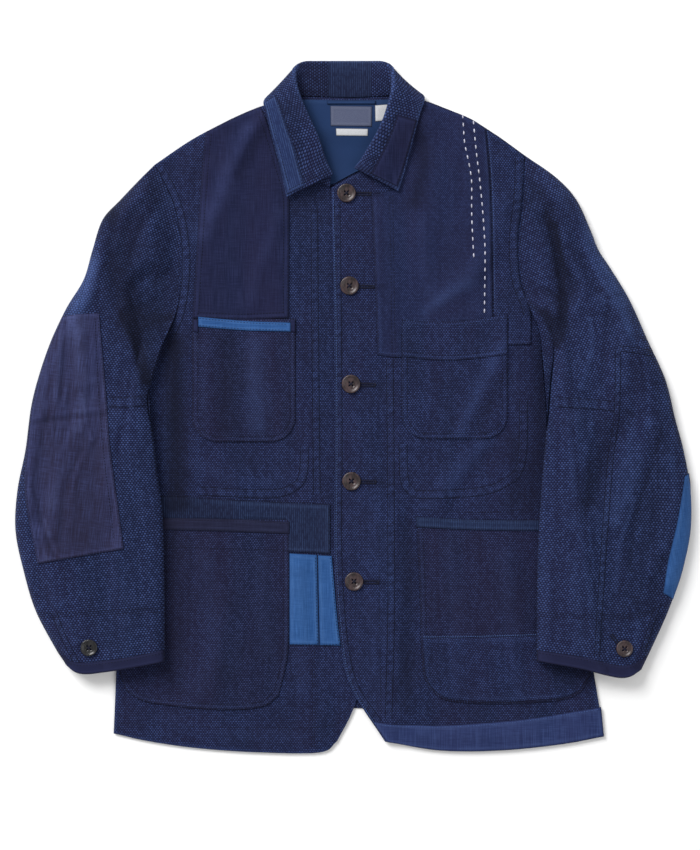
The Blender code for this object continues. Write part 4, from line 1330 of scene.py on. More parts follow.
def shape_tone(height: Array, plane: Array) -> Array:
    """Tone from the shape: painted shade in a groove, and on a ridge rubbed pale with painted
    highlight.
    """
    cell = np.linalg.norm(plane[1:, 1:] - plane[:-1, :-1], axis=2).mean() / math.sqrt(2)
    padded = np.pad(height, 1, mode="edge")
    around = (padded[:-2, 1:-1] + padded[2:, 1:-1] + padded[1:-1, :-2] + padded[1:-1, 2:]) / 4
    bend = (height - around) / max(cell, 0.1) ** 2
    bend = np.where(rim_of(height.shape, (1.0, 1.0, 1.0)) > 0, 0.0, bend)
    return np.clip(TONE_PER_BEND * bend, -MOST_BEND_TONE, MOST_BEND_TONE)


@dataclass(frozen=True)
class SewnCloth:
    """How a cloth piece was cut and how it lies.

    Attributes:
        wide: width of the flat cut, in metres.
        long: length of the flat cut.
        area: of the flat cut, in square metres.
        rests_on: the pieces or nodes that it lies on.
        held: laid, folded and so on.
    """

    wide: float
    long: float
    area: float
    rests_on: tuple[str, ...] = ()
    held: str = "laid"


@dataclass
class Workshop:
    """What every piece is made with: the built finishes and the made pieces."""

    effects: Effects
    materials: dict[str, bpy.types.Material] = field(default_factory=dict)
    made: dict[str, bpy.types.Object] = field(default_factory=dict)
    sheets: dict[str, SewnCloth] = field(default_factory=dict)
    trims: dict[str, list[bpy.types.Object]] = field(default_factory=dict)

    def material(self, finish: ClothFinish | ThreadFinish | HornFinish) -> bpy.types.Material:
        """A finish's material, built at its first use."""
        if finish.name not in self.materials:
            self.materials[finish.name] = finish.build(self.effects)
        return self.materials[finish.name]

    def hand_over(
        self, piece: bpy.types.Object, finish: ClothFinish | ThreadFinish | HornFinish, *nodes: str
    ) -> bpy.types.Object:
        """Ride the piece on the body, and hide the solids it stands for."""
        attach(piece, "root")
        if nodes:
            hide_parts(*nodes)
        self.made[piece.name] = piece
        LOG.info("%s: %d faces", piece.name, len(piece.data.polygons))
        return piece

    def cut(self, piece: bpy.types.Object, cloth: SewnCloth) -> None:
        """Note how a piece was cut."""
        self.sheets[piece.name] = cloth

    def trim(self, host: str, piece: bpy.types.Object) -> None:
        """Note a small piece that goes with a sheet."""
        self.trims.setdefault(host, []).append(piece)


@dataclass
class SewnPiece:
    """A cloth piece over the plan, sewn on a form or standing as a panel.

    Attributes:
        name: the piece's name.
        node: the solid it stands for, or None.
        outline: its four edges.
        finish: its cloth.
        cut: width and length of its flat cut in metres, and the cut's area; None on a trim.
        cell: the side of a grid cell in millimetres.
        grain: how far its weave is turned, in degrees.
        wall: its thickness when it is sewn on.
        tucked: a plan ring inside which it lies thin under another piece.
        rests_on: what it lies on.
        centre: the line that a bent weave follows, or None.
        edge: the tone of its outermost rings of grid points; by default a painted shadow line at
            the very edge and a rubbed pale ring inside it.
    """

    name: str
    node: str | None
    outline: Outline
    finish: ClothFinish
    cut: tuple[float, float, float] | None
    cell: float = 2.6
    grain: float = 0.0
    wall: float = 1.15
    tucked: Line | None = None
    rests_on: str = ""
    centre: Line | None = None
    edge: tuple[float, ...] = (-1.0, 0.0, 0.22, 0.05)

    @classmethod
    def of_solid(cls, node: str, *given: object, **options: object) -> "SewnPiece":
        """The cloth of a solid, named after it."""
        return cls(f"{node}_cloth", node, *given, **options)

    def sew(self, shop: Workshop, form: Form, as_panel: bool = False) -> bpy.types.Object:
        """Build the sheet.

        Args:
            shop: the workshop.
            form: the panel's own form, or the form that a patch is sewn on.
            as_panel: whether the form is the panel's own.

        Returns:
            The piece.
        """
        at = self.outline.grid(self.cell)
        tone = form.tone(at)
        if as_panel:
            low, high = form.under(at), form.top(at)
            rounding = rim_of(low.shape, PANEL_ROUND)
            middle = (low + high) / 2
            high = high - rounding * (high - middle)
            low = low + 0.5 * rim_of(low.shape, PANEL_ROUND[:1]) * (middle - low) * (low > 0.3)
        else:
            low = form.top(at) + SEWN_GAP
            thick = np.full(low.shape, self.wall)
            if self.tucked:
                thick = np.where(inside(at, plan(self.tucked)), TUCKED_WALL, thick)
            thick = thick + HEM_SWELL * rim_of(low.shape, HEM_RINGS) * (thick > 0.5)
            thick = thick * (1 - rim_of(low.shape, PATCH_ROUND))
            high = low + thick
        # Adds painted shade and highlight from the bends, and the rim's tone.
        tone = tone + shape_tone(high, at) + rim_of(low.shape, self.edge)
        cloth = down_the_arm(at, self.centre) if self.centre else turned(at, self.grain)
        piece = sewn_sheet(
            self.name, np.dstack([at, high]), np.dstack([at, low]), cloth, np.clip(tone, -1, 1),
            shop.material(self.finish)
        )
        shop.hand_over(piece, self.finish, *([self.node] if self.node else []))
        if self.cut:
            shop.cut(piece, SewnCloth(*self.cut, (self.rests_on,) if self.rests_on else ()))
        else:
            shop.trim(self.rests_on, piece)
        return piece


# Stitches


@dataclass
class StitchBag:
    """Every stitch of one thread, as one mesh.

    Attributes:
        name: the piece's name.
        finish: the thread.
    """

    name: str
    finish: ThreadFinish
    centres: list[Array] = field(default_factory=list)
    aheads: list[Array] = field(default_factory=list)
    sizes: list[Array] = field(default_factory=list)

    def row(
        self, form: Form, line: Array, pitch: float = 3.4, length: float = 2.4, width: float = 0.55,
        skip: tuple[float, float] = (0.0, 0.0)
    ) -> None:
        """Running stitches along a line on a form.

        Args:
            form: the surface they are sewn through.
            line: the line in millimetres.
            pitch: from one stitch to the next.
            length: of a stitch.
            width: of the thread.
            skip: lengths left out at the line's start and end.
        """
        whole = lengths_along(line)[-1]
        count = int((whole - sum(skip)) / pitch)
        if count < 1:
            return
        middle = skip[0] + pitch * (np.arange(count) + 0.5)
        self.at(
            form, cut_at(line, (middle - length / 2) / whole),
            cut_at(line, (middle + length / 2) / whole), width
        )

    def at(self, form: Form, start: Array, end: Array, width: float, rise: float = 0.12) -> None:
        """Stitches from each start to each end, in millimetres over the plan."""
        low = np.column_stack([start, form.top(start)])
        high = np.column_stack([end, form.top(end)])
        middle = (low + high) / 2
        middle[:, 2] = form.top(middle[:, :2]) + rise
        self.add(middle, (high - low) / 2, width)

    def along(
        self, line: Array, pitch: float = 3.4, length: float = 2.4, width: float = 0.55
    ) -> None:
        """Running stitches along a line given in space."""
        whole = lengths_along(line)[-1]
        middle = pitch * (np.arange(int(whole / pitch)) + 0.5)
        low = cut_at(line, (middle - length / 2) / whole)
        high = cut_at(line, (middle + length / 2) / whole)
        self.add((low + high) / 2, (high - low) / 2, width)

    def add(self, middle: Array, ahead: Array, width: float) -> None:
        """Stitches from their middles and the halves of their lengths."""
        self.centres.append(middle)
        self.aheads.append(ahead)
        self.sizes.append(np.full(len(middle), width / 2))

    def finish_up(self, shop: Workshop) -> bpy.types.Object:
        """One spindle for each stitch: three diamond rings between two sunk points."""
        centre, ahead = np.vstack(self.centres), np.vstack(self.aheads)
        size = np.concatenate(self.sizes)[:, None]
        forward = ahead / np.linalg.norm(ahead, axis=1)[:, None]
        side = np.cross(forward, (0.0, 0.0, 1.0))
        side = side / np.linalg.norm(side, axis=1)[:, None]
        up = np.cross(side, forward)
        points = [centre - ahead - up * size * 0.8]
        for share, fat in ((-0.62, 0.8), (0.0, 1.0), (0.62, 0.8)):
            hub = centre + share * ahead + up * size * (0.5 - 0.6 * share * share)
            for across, over in ((-1, 0), (0, 0.8), (1, 0), (0, -0.8)):
                points.append(hub + fat * size * (across * side + over * up))
        points.append(centre + ahead - up * size * 0.8)
        table = np.stack(points, axis=1)
        faces = []
        for k in range(4):
            n = (k + 1) % 4
            faces.append((0, 1 + n, 1 + k))
            faces.append((13, 9 + k, 9 + n))
            faces.append((1 + k, 1 + n, 5 + n, 5 + k))
            faces.append((5 + k, 5 + n, 9 + n, 9 + k))
        whole = [tuple(14 * s + v for v in face) for s in range(len(centre)) for face in faces]
        piece = finished_mesh(
            self.name, table.reshape(-1, 3), whole, shop.material(self.finish), 80
        )
        return shop.hand_over(piece, self.finish)


def inset(line: Array, gap: float) -> Array:
    """A line moved sideways, to its right as it runs."""
    ahead = np.gradient(line, axis=0)
    ahead = ahead / np.maximum(np.linalg.norm(ahead, axis=1), 1e-9)[:, None]
    return line + gap * np.column_stack([ahead[:, 1], -ahead[:, 0]])


@dataclass
class Ridge:
    """A felled seam: a low strip of the same cloth along a line, stitched at both edges.

    Attributes:
        name: the piece's name.
        line: the seam's middle line in the plan.
        finish: the cloth.
        width: of the strip in millimetres.
        rise: of the strip.
        grain: how far its weave is turned.
        centre: the line that a bent weave follows, or None.
        host: the sheet it goes with.
    """

    name: str
    line: Line
    finish: ClothFinish
    width: float = 7.0
    rise: float = 0.55
    grain: float = 0.0
    centre: Line | None = None
    host: str = ""

    def sew(self, shop: Workshop, form: Form, thread: StitchBag) -> bpy.types.Object:
        """Build the strip, with small puckers along it, and its two rows of stitches."""
        middle = smooth(plan(self.line))
        whole = lengths_along(middle)[-1]
        middle = cut_at(middle, np.linspace(0, 1, max(3, round(whole / 2.0))))
        half = self.width / 2
        outer = np.array([half + 0.9, half, half - 0.7, half - 1.4])
        at = np.stack([inset(middle, share) for share in (*outer, *-outer[::-1])], axis=1)
        profile = self.rise * np.array([0.0, 0.12, 1.0, 0.85, 0.85, 1.0, 0.12, 0.0])
        low = form.top(at) - 0.15
        along = lengths_along(middle)[:, None]
        turns = np.array([0.0, 0.3, 0.6, 0.9, 1.5, 1.9, 2.2, 2.5])
        pucker = 0.22 * np.sin(along / 1.7 + turns) * (0.6 + 0.4 * np.sin(along / 7.3 + 1.0))
        ends = ease(np.minimum(along, whole - along) / 2.0)
        high = low + 0.2 + (
            profile + pucker * np.array([0, 0, 1, 1, 1, 1, 0, 0])
        ) * (0.2 + 0.8 * ends)
        # Outer rows darkened as painted shade of the groove beside the seam, crests paled as
        # rubbing, and each pucker painted light and dark.
        tone = form.tone(at) + np.array(
            [-0.9, -0.9, 0.35, 0.1, 0.1, 0.35, -0.9, -0.9]
        ) + 1.0 * pucker
        cloth = down_the_arm(at, self.centre) if self.centre else turned(at, self.grain)
        piece = sewn_sheet(
            self.name, np.dstack([at, high]), np.dstack([at, low]), cloth, np.clip(tone, -1, 1),
            shop.material(self.finish)
        )
        raised = RaisedForm(form, self.rise * 0.8)
        for share in (-half + 1.3, half - 1.3):
            thread.row(raised, inset(middle, share))
        shop.hand_over(piece, self.finish)
        shop.trim(self.host, piece)
        return piece


# The panels' outlines

NECK_OF_BACK: Line = ((289, 98), (300, 97.2), (353, 98.6), (394, 96.8), (401, 98))
BACK_OUTLINE = Outline(
    top=(SHOULDER_RIGHT, NECK_OF_BACK, SHOULDER_LEFT),
    bottom=(((114, 733), (200, 716), (353, 708), (500, 716), (604, 736)),),
    left=(ARMHOLE_RIGHT, SIDE_RIGHT),
    right=(ARMHOLE_LEFT, SIDE_LEFT),
)
FRONT_RIGHT_OUTLINE = Outline(
    top=(SHOULDER_RIGHT,),
    bottom=(((114, 733), (150, 741), (200, 748), (260, 752), (320, 752), (337, 741)),),
    left=(ARMHOLE_RIGHT, SIDE_RIGHT),
    right=(
        NECK_RIGHT,
        ((330.5, 188), (372, 194)),
        ((372, 194), (376, 350), (378, 500), (372, 620), (362, 680), (352, 712), (337, 741)),
    ),
)
FRONT_LEFT_OUTLINE = Outline(
    top=(SHOULDER_LEFT,),
    bottom=(((385, 741), (440, 750), (500, 750), (560, 744), (604, 736)),),
    left=(
        NECK_LEFT,
        ((331.5, 188), (334, 320), (335, 450), (334, 550), (340, 635), (350, 685), (385, 741)),
    ),
    right=(ARMHOLE_LEFT, SIDE_LEFT),
)
SLEEVE_RIGHT_OUTLINE = Outline(
    top=(ARMHOLE_RIGHT,), bottom=(CUFF_RIGHT,), left=(OUTER_RIGHT,), right=(INNER_RIGHT,)
)
SLEEVE_LEFT_OUTLINE = Outline(
    top=(ARMHOLE_LEFT[::-1],), bottom=(CUFF_LEFT,), left=(INNER_LEFT,), right=(OUTER_LEFT,)
)

SLEEVE_CENTRES: dict[Side, Line] = {
    Side.RIGHT: (
        (166, 120), (140, 190), (116, 260), (102, 330), (94, 400), (94, 480), (102, 560), (116, 700)
    ),
    Side.LEFT: (
        (520, 110), (548, 190), (576, 260), (596, 330), (609, 400), (614, 480), (608, 560),
        (590, 700)
    ),
}


def pocket(
    left: float, top: float, right: float, bottom: float, radius: float, sag: float = 0.0
) -> Outline:
    """A pocket square at its mouth and round at its foot; its corners are mid-arc."""
    fine = [math.radians(a) for a in (0, 15, 30, 45)]
    fall = [
        (right - radius + radius * math.cos(a), bottom - radius + radius * math.sin(a))
        for a in fine
    ]
    low = [
        (right - radius + radius * math.sin(a), bottom - radius + radius * math.cos(a))
        for a in fine[:-1]
    ]
    mirror = left + right
    west = [(mirror - x, y) for x, y in fall]
    base = [(mirror - x, y) for x, y in low]
    return Outline(
        top=(((left, top), ((left + right) / 2, top + sag), (right, top)),),
        bottom=((west[-1], *base[::-1], *low, fall[-1]),),
        left=(((left, top), (left, (top + bottom) / 2), *west),),
        right=(((right, top), (right, (top + bottom) / 2), *fall),),
    )


@dataclass
class RightFrontPatches:
    """What is sewn on the wearer's right front.

    Attributes:
        rows: thread rows inside a pocket's edge, in millimetres.
    """

    rows: tuple[float, ...] = (1.7, 6.2)

    def build(self, shop: Workshop, front: Form, navy: StitchBag) -> None:
        """Sew the patches, pockets and bindings, from the lowest layer up."""
        on_pocket = RaisedForm(front, 1.2)
        pieces = (
            SewnPiece.of_solid(
                "shoulder_patch_right",
                Outline(
                    top=(((206, 132.6), (230, 120), (250, 111), (261, 107)),),
                    bottom=(((193, 318.3), (240, 320), (289, 318.3)),),
                    left=(((206, 132.6), (202.5, 170), (197, 250), (193, 318.3)),),
                    right=(
                        ((261, 107), (270, 130), (279, 160), (287, 186)),
                        ((287, 186), (289.5, 204), (289.5, 250), (289, 318.3))
                    ),
                ),
                SLUB_PURPLE, (0.106, 0.232, 0.0202),
            ),
            SewnPiece.of_solid(
                "striped_band_right",
                strip(
                    ((160, 496), (250, 501), (330.5, 504.5)),
                    ((160, 548), (290, 551.8), (330.5, 554))
                ),
                STRIPED, (0.185, 0.063, 0.0099),
                tucked=((150, 517.5), (288, 517.5), (288, 575), (150, 575)),
            ),
            SewnPiece.of_solid(
                "blue_patch_right",
                strip(((289.5, 552.8), (317.2, 554.6)), ((289.5, 644.2), (319.0, 644.8))),
                BRIGHT_BLUE, (0.032, 0.1, 0.00308),
            ),
            SewnPiece.of_solid(
                "blue_column_right",
                Outline(
                    top=(((317.9, 554.8), (332, 555.6)),),
                    bottom=(((319.7, 645), (341, 645.5)),),
                    left=(((317.9, 554.8), (319.7, 645)),),
                    right=(((332, 555.6), (337, 612), (341, 645.5)),),
                ),
                BRIGHT_BLUE, (0.025, 0.099, 0.00182),
            ),
            SewnPiece.of_solid(
                "chest_pocket_right", pocket(192.5, 319, 295.8, 442, 26),
                RICE_DARK, (0.115, 0.135, 0.0145), grain=1.5,
            ),
            SewnPiece.of_solid(
                "lower_pocket_right",
                Outline(
                    top=(((127.5, 517.5), (289.5, 519.5)),),
                    bottom=(((126, 690), (150, 702.5), (220, 709.5), (262, 706.5), (279, 694.5)),),
                    left=(((127.5, 517.5), (121, 620), (119, 665), (126, 690)),),
                    right=(((289.5, 519.5), (289.5, 600), (288, 655), (279, 694.5)),),
                ),
                RICE_DARK, (0.185, 0.209, 0.0358), grain=-1.5,
            ),
        )
        for piece in pieces:
            piece.rests_on = "front_right_cloth"
            piece.sew(shop, front)
            self.stitch(piece, front, navy)
        mouth = SewnPiece.of_solid(
            "chest_binding_right",
            strip(
                ((198.5, 316.8), (245, 321), (291, 322.8)),
                ((198.5, 327.2), (245, 330.8), (291, 332))
            ),
            BRIGHT_BLUE, (0.101, 0.0115, 0.00105), cell=2.0, wall=1.05, grain=90,
            rests_on="chest_pocket_right_cloth",
        )
        mouth.sew(shop, on_pocket)
        for name, left, right in (("inner", 290.6, 295.6), ("outer", 193.5, 198.9)):
            tab = SewnPiece(
                f"chest_binding_tab_{name}", None,
                strip(((left, 319.5), (right, 320)), ((left, 332), (right, 333))),
                SLUB_PURPLE, None, cell=1.6, wall=1.25, rests_on="chest_pocket_right_cloth",
            )
            tab.sew(shop, on_pocket)
        band = SewnPiece.of_solid(
            "lower_binding_right",
            strip(
                ((128, 517.5), (220, 518.5), (289.8, 521.5)),
                ((127, 528.6), (220, 531), (289.8, 533.5))
            ),
            LOWER_BAND, (0.177, 0.0135, 0.00228), cell=2.2, wall=1.0, grain=90,
            rests_on="lower_pocket_right_cloth",
        )
        band.sew(shop, on_pocket)
        over = RaisedForm(front, 2.3)
        for top, bottom in (
            (
                ((199, 318.6), (245, 322.8), (290, 324.6)),
                ((199, 325.6), (245, 329.2), (290, 330.4))
            ),
            (
                ((166, 519.6), (220, 520.2), (289, 523.2)),
                ((166, 527.6), (220, 529.4), (289, 531.8))
            ),
        ):
            navy.row(over, smooth(plan(top)))
            navy.row(over, smooth(plan(bottom)))
        lines = (
            ((316.5, 508), (317, 552)),
            ((120, 722.5), (150, 724.5), (250, 727), (315, 727), (340, 722)),
            ((312, 650), (312.5, 700), (312, 748)),
            ((314.5, 650), (315, 700), (314.5, 748)),
            ((178, 610), (230, 606), (286, 602)),
            ((170, 495.2), (250, 500), (330, 503.6)),
        )
        for line in lines:
            navy.row(front, smooth(plan(line)))
        for name, line, width in (
            (
                "armhole_seam_right",
                ((161, 168), (176.5, 200), (184.6, 235), (186.6, 270), (181.6, 310), (171, 337)),
                7.0
            ),
            ("facing_seam_right", ((314.5, 206), (315, 300), (316, 400), (317, 494)), 6.5),
            (
                "inner_pocket_seam_right",
                ((305, 446), (303.5, 472), (297, 485), (272, 493.5), (200, 491)), 8.0
            ),
        ):
            Ridge(
                name, line, RICE_BODY, width, SEAM_RISE, host="front_right_cloth"
            ).sew(shop, front, navy)

    def stitch(self, piece: SewnPiece, form: Form, thread: StitchBag) -> None:
        """Rows of stitches inside a patch's edges."""
        sew_edges(piece, form, thread, self.rows[:1] if piece.cut[2] < 0.012 else self.rows)


def sew_edges(piece: SewnPiece, form: Form, thread: StitchBag, rows: tuple[float, ...]) -> None:
    """Rows of stitches inside the edges of a patch, but for its top, a pocket's mouth.

    Args:
        piece: the patch.
        form: what it is sewn on.
        thread: the thread's bag.
        rows: how far inside the edge each row is.
    """
    top, right, bottom, left = piece.outline.edges()
    raised = RaisedForm(form, piece.wall + 0.2)
    ring = np.vstack([left, bottom[1:], right[::-1][1:]])
    for gap in rows:
        line = inset(ring, -gap)
        keep = inside(line, np.vstack([ring, top[::-1]]))
        thread.row(raised, line[keep] if keep.sum() > 2 else line, skip=(1.0, 1.0))


@dataclass
class LeftFrontPatches:
    """What is sewn on the wearer's left front.

    Attributes:
        rows: thread rows inside a pocket's edge, in millimetres.
        sashiko_pitch: from one white stitch to the next.
        sashiko_length: of a white stitch.
    """

    rows: tuple[float, ...] = (1.7, 6.2)
    sashiko_pitch: float = 8.85
    sashiko_length: float = 5.0

    def build(
        self, shop: Workshop, front: Form, navy: StitchBag, blue: StitchBag, white: StitchBag
    ) -> None:
        """Sew the patches, pockets, bindings and the white running stitches."""
        on_pocket = RaisedForm(front, 1.2)
        chest = SewnPiece.of_solid(
            "chest_patch_left",
            Outline(
                top=(((420, 102.8), (426, 102), (451, 111), (472, 120), (485, 128.5)),),
                bottom=(((377.5, 355.5), (400.6, 357.5), (440, 352), (492.5, 345)),),
                left=(
                    ((420, 102.8), (414, 125), (405, 168), (397, 190)), ((397, 190), (371.5, 196)),
                    ((371.5, 196), (375, 280), (377.5, 355.5))
                ),
                right=(((485, 128.5), (487, 150), (490.4, 200), (492.5, 313), (492.5, 345)),),
            ),
            RICE_FINE, (0.132, 0.278, 0.0293),
            tucked=((402, 321), (520, 321), (520, 360), (402, 360)),
        )
        side = SewnPiece.of_solid(
            "side_patch_left",
            Outline(
                top=(((486, 129.2), (500, 138), (524.5, 156)),),
                bottom=(((493.4, 345), (509, 345.5), (530.8, 345)),),
                left=(((486, 129.2), (488, 150), (491.3, 200), (493.4, 313), (493.4, 345)),),
                right=(
                    (
                        (524.5, 156), (521.4, 200), (516.9, 240), (519.4, 280), (527, 302),
                        (530.8, 318), (530.8, 345)
                    ),
                ),
            ),
            RICE_BODY, (0.05, 0.235, 0.0074), grain=2.0,
            tucked=((480, 317), (508, 317), (508, 350), (480, 350)),
        )
        chest_pocket = SewnPiece.of_solid(
            "chest_pocket_left", pocket(401.5, 319, 507.5, 439, 25, 2.0),
            RICE_BODY, (0.116, 0.131, 0.0142), grain=-2.0,
        )
        lower = SewnPiece.of_solid(
            "lower_pocket_left",
            Outline(
                top=(((416.5, 517.5), (480, 519.5), (569, 519)),),
                bottom=(
                    ((429, 687), (440, 697), (455, 701.5), (500, 703.5), (560, 700), (582, 691)),
                ),
                left=(((416.5, 517.5), (419, 580), (421, 640), (423, 672), (429, 687)),),
                right=(((569, 519), (575, 560), (588, 645), (591, 668), (582, 691)),),
            ),
            RICE_DARK, (0.19, 0.202, 0.034), grain=1.0,
        )
        hem = SewnPiece.of_solid(
            "hem_band_left",
            strip(
                (
                    (372, 720.5), (392, 723.5), (415, 724.5), (450, 724.5), (525, 718.5),
                    (600.8, 706.5)
                ), ((387, 741.3), (440, 750), (500, 750), (560, 744), (603.6, 736))
            ),
            HEM_BLUE, (0.255, 0.034, 0.0071),
        )
        for piece in (chest, side, lower, chest_pocket, hem):
            piece.rests_on = "front_left_cloth"
            piece.sew(shop, front)
        for piece in (lower, chest_pocket):
            sew_edges(piece, front, navy, self.rows)
        band = SewnPiece.of_solid(
            "chest_band_left",
            strip(
                ((401.8, 320.5), (450, 322.5), (507.3, 314.5)),
                ((401.8, 357), (450, 361), (507.3, 355))
            ),
            RICE_BODY, (0.116, 0.047, 0.00475), wall=0.8, rests_on="chest_pocket_left_cloth",
        )
        foot = SewnPiece.of_solid(
            "pocket_foot_left",
            Outline(
                top=(((422, 637), (470, 636.5), (540, 634.5), (586, 634)),),
                bottom=(
                    (
                        (430, 685.5), (441, 695.3), (456, 699.5), (500, 701.5), (559, 698),
                        (580, 689.5)
                    ),
                ),
                left=(((422, 637), (424.5, 670), (430, 685.5)),),
                right=(((586, 634), (589.5, 668), (580, 689.5)),),
            ),
            RICE_BODY, (0.182, 0.074, 0.0118), wall=0.7, grain=4.0,
            rests_on="lower_pocket_left_cloth",
        )
        mouth = SewnPiece.of_solid(
            "lower_binding_left",
            strip(
                ((416.2, 516.5), (480, 519.3), (568, 520)), ((416.4, 527), (480, 530), (569, 531))
            ),
            STRIPED_BINDING, (0.166, 0.013, 0.00195), cell=2.2, wall=1.0,
            rests_on="lower_pocket_left_cloth",
        )
        for piece in (band, foot, mouth):
            piece.sew(shop, on_pocket)
        over = RaisedForm(front, 2.2)
        for line in (
            ((402.5, 355.6), (450, 359.6), (507, 353.6)),
            ((402.5, 351.5), (450, 355.4), (507, 349.4)),
            ((402.5, 324), (450, 326), (507, 318)),
            ((417, 518.4), (480, 521.2), (538, 521.8)),
            ((417, 525.4), (480, 528.2), (538, 529)),
        ):
            navy.row(over, smooth(plan(line)))
        blue.row(
            over, smooth(plan(((423, 636.2), (470, 635.8), (538, 634)))), pitch=2.4, length=2.0,
            width=0.8
        )
        self.seams(shop, front, navy, blue)
        self.running_stitches(front, white)

    def seams(self, shop: Workshop, front: Form, navy: StitchBag, blue: StitchBag) -> None:
        """The stitch lines of the front edge, facing, inner pocket, hem and armhole."""
        raised = RaisedForm(front, 1.3)
        for line in (
            ((372.9, 198), (376.4, 280), (378.8, 354)),
            ((389.6, 196), (391, 280), (392, 355)),
            ((392.6, 196), (394, 280), (395, 355)),
            ((378, 353.8), (400, 355.6)),
            ((484, 131), (486, 150), (489, 200), (491, 312)),
            ((509.5, 344), (530, 343.6)),
        ):
            navy.row(raised, smooth(plan(line)))
        blue.row(
            raised, smooth(plan(((487.4, 131), (489.4, 150), (492.6, 200), (494.6, 312)))),
            pitch=2.6, length=1.8, width=0.5
        )
        for line in (
            ((379, 525), (379.5, 620), (381, 715)),
            ((417, 509), (480, 512), (536, 508)),
            ((398, 726), (398.5, 742)),
            ((401, 726), (401.5, 743)),
        ):
            navy.row(front, smooth(plan(line)))
        edge = (
            (333.3, 192), (336, 320), (337, 450), (336.3, 550), (342, 634), (352, 684.5), (385, 738)
        )
        blue.row(front, smooth(plan(edge)), pitch=2.7, length=1.9, width=0.75)
        blue.row(
            RaisedForm(front, 1.2),
            smooth(plan(((374, 722.5), (392, 725), (450, 726.2), (525, 720.4), (600, 708.6)))),
            pitch=2.8, length=1.9, width=0.6
        )
        Ridge(
            "armhole_seam_left",
            ((519, 157), (517, 200), (512.6, 240), (515.2, 280), (524, 304), (527, 316)),
            RICE_BODY, 7.0, SEAM_RISE,
            host="side_patch_left_cloth",
        ).sew(shop, raised, navy)
        for name, line, width in (
            (
                "facing_seam_left",
                ((389.8, 360), (390.5, 430), (391, 516), (391, 620), (388.5, 718)), 6.5
            ),
            (
                "front_edge_seam",
                (
                    (337.2, 202), (338.6, 320), (339.3, 450), (338.8, 550), (344, 633),
                    (354.4, 683), (379, 722)
                ), 5.5
            ),
            (
                "inner_pocket_seam_left",
                (
                    (403, 444), (404, 477), (409.5, 489), (423, 494.5), (481, 491.2), (506, 481.8),
                    (518, 471.5), (522.6, 448), (523.4, 400)
                ), 8.0
            ),
        ):
            Ridge(
                name, line, RICE_BODY, width, SEAM_RISE, host="front_left_cloth"
            ).sew(shop, front, navy)

    def running_stitches(self, front: Form, white: StitchBag) -> None:
        """Two rows of white thread from the shoulder to the chest pocket."""
        raised = RaisedForm(front, 1.25)
        rows = (
            (
                (462.4, 113), (463.4, 131), (464.4, 144), (467, 156), (470, 171), (471.4, 184),
                (471.4, 213), (472.6, 242), (473.9, 265)
            ),
            (
                (473, 119), (474.5, 136.5), (476, 152), (479, 177), (480.6, 192), (482.5, 213),
                (484, 236), (484.6, 251), (484.6, 280), (484, 317)
            ),
        )
        for line in rows:
            white.row(
                raised, smooth(plan(line)), pitch=self.sashiko_pitch, length=self.sashiko_length,
                width=1.45
            )


# Panels


@dataclass
class Body:
    """The back, the two fronts and what shows of the neck's inside.

    Attributes:
        back_cell: grid cell of the back in millimetres.
        front_cell: grid cell of the fronts.
        edge: tone of the fronts' outermost rings.
    """

    back_cell: float = 5.0
    front_cell: float = 2.7
    edge: tuple[float, ...] = (0.1, 0.35, 0.1)

    def build(self, shop: Workshop) -> tuple[Form, Form, Form]:
        """Sew the three panels and return their forms: back, right and left front."""
        back, right, left = BackForm(), FrontForm(Side.RIGHT), FrontForm(Side.LEFT)
        for name, outline, cut, cell, form, edge, under in (
            ("back", BACK_OUTLINE, (0.53, 0.691, 0.289), self.back_cell, back, (0.0, 0.0), ""),
            (
                "front_right", FRONT_RIGHT_OUTLINE, (0.286, 0.708, 0.161), self.front_cell, right,
                self.edge, "back_cloth"
            ),
            (
                "front_left", FRONT_LEFT_OUTLINE, (0.295, 0.706, 0.157), self.front_cell, left,
                self.edge, "front_right_cloth"
            ),
        ):
            piece = SewnPiece.of_solid(
                name, outline, RICE_BODY, cut, cell=cell, edge=edge, rests_on=under
            )
            piece.sew(shop, form, True)
        return back, right, left

    def line_neck(self, shop: Workshop, back: Form) -> None:
        """Facing, hanger loop and three bare labels inside the neck."""
        SewnPiece.of_solid(
            "back_facing",
            Outline(
                top=(((290.5, 99.6), (353, 100.6), (399.5, 99.6)),),
                bottom=(((331, 185), (334, 183.8)),),
                left=(((290.5, 99.6), (288.8, 118), (294.5, 145), (309, 169.5), (331, 185)),),
                right=(
                    (
                        (399.5, 99.6), (403.4, 118), (398.5, 142), (384, 160), (357, 171.5),
                        (334, 183.8)
                    ),
                ),
            ),
            LINING, (0.124, 0.093, 0.0087), wall=0.95, rests_on="back_cloth",
        ).sew(shop, back)
        on_facing = RaisedForm(back, 1.2)
        for name, finish, x0, y0, x1, y1, skew, wall, cut in (
            (
                "label_main", LABEL_GREY, 330.5, 106.5, 372, 126.5, 0.6, 0.6,
                (0.045, 0.0222, 0.00097)
            ),
            ("label_small", LABEL_WHITE, 336, 129, 368, 136, 0.4, 0.5, (0.0346, 0.01, 0.00026)),
            ("label_size", LABEL_WHITE, 375, 106, 388, 122, -1.0, 0.5, (0.0145, 0.0185, 0.00024)),
            ("hanger_loop", LINING, 327, 101.5, 376, 105, 0.0, 1.2, (0.053, 0.01, 0.0002)),
        ):
            SewnPiece(
                f"{name}_cloth", name,
                strip(((x0, y0), (x1, y0 + skew)), ((x0 + 0.3, y1), (x1 - 0.3, y1 + skew))),
                finish, cut, cell=1.6, wall=wall, rests_on="back_facing_cloth",
            ).sew(shop, on_facing)


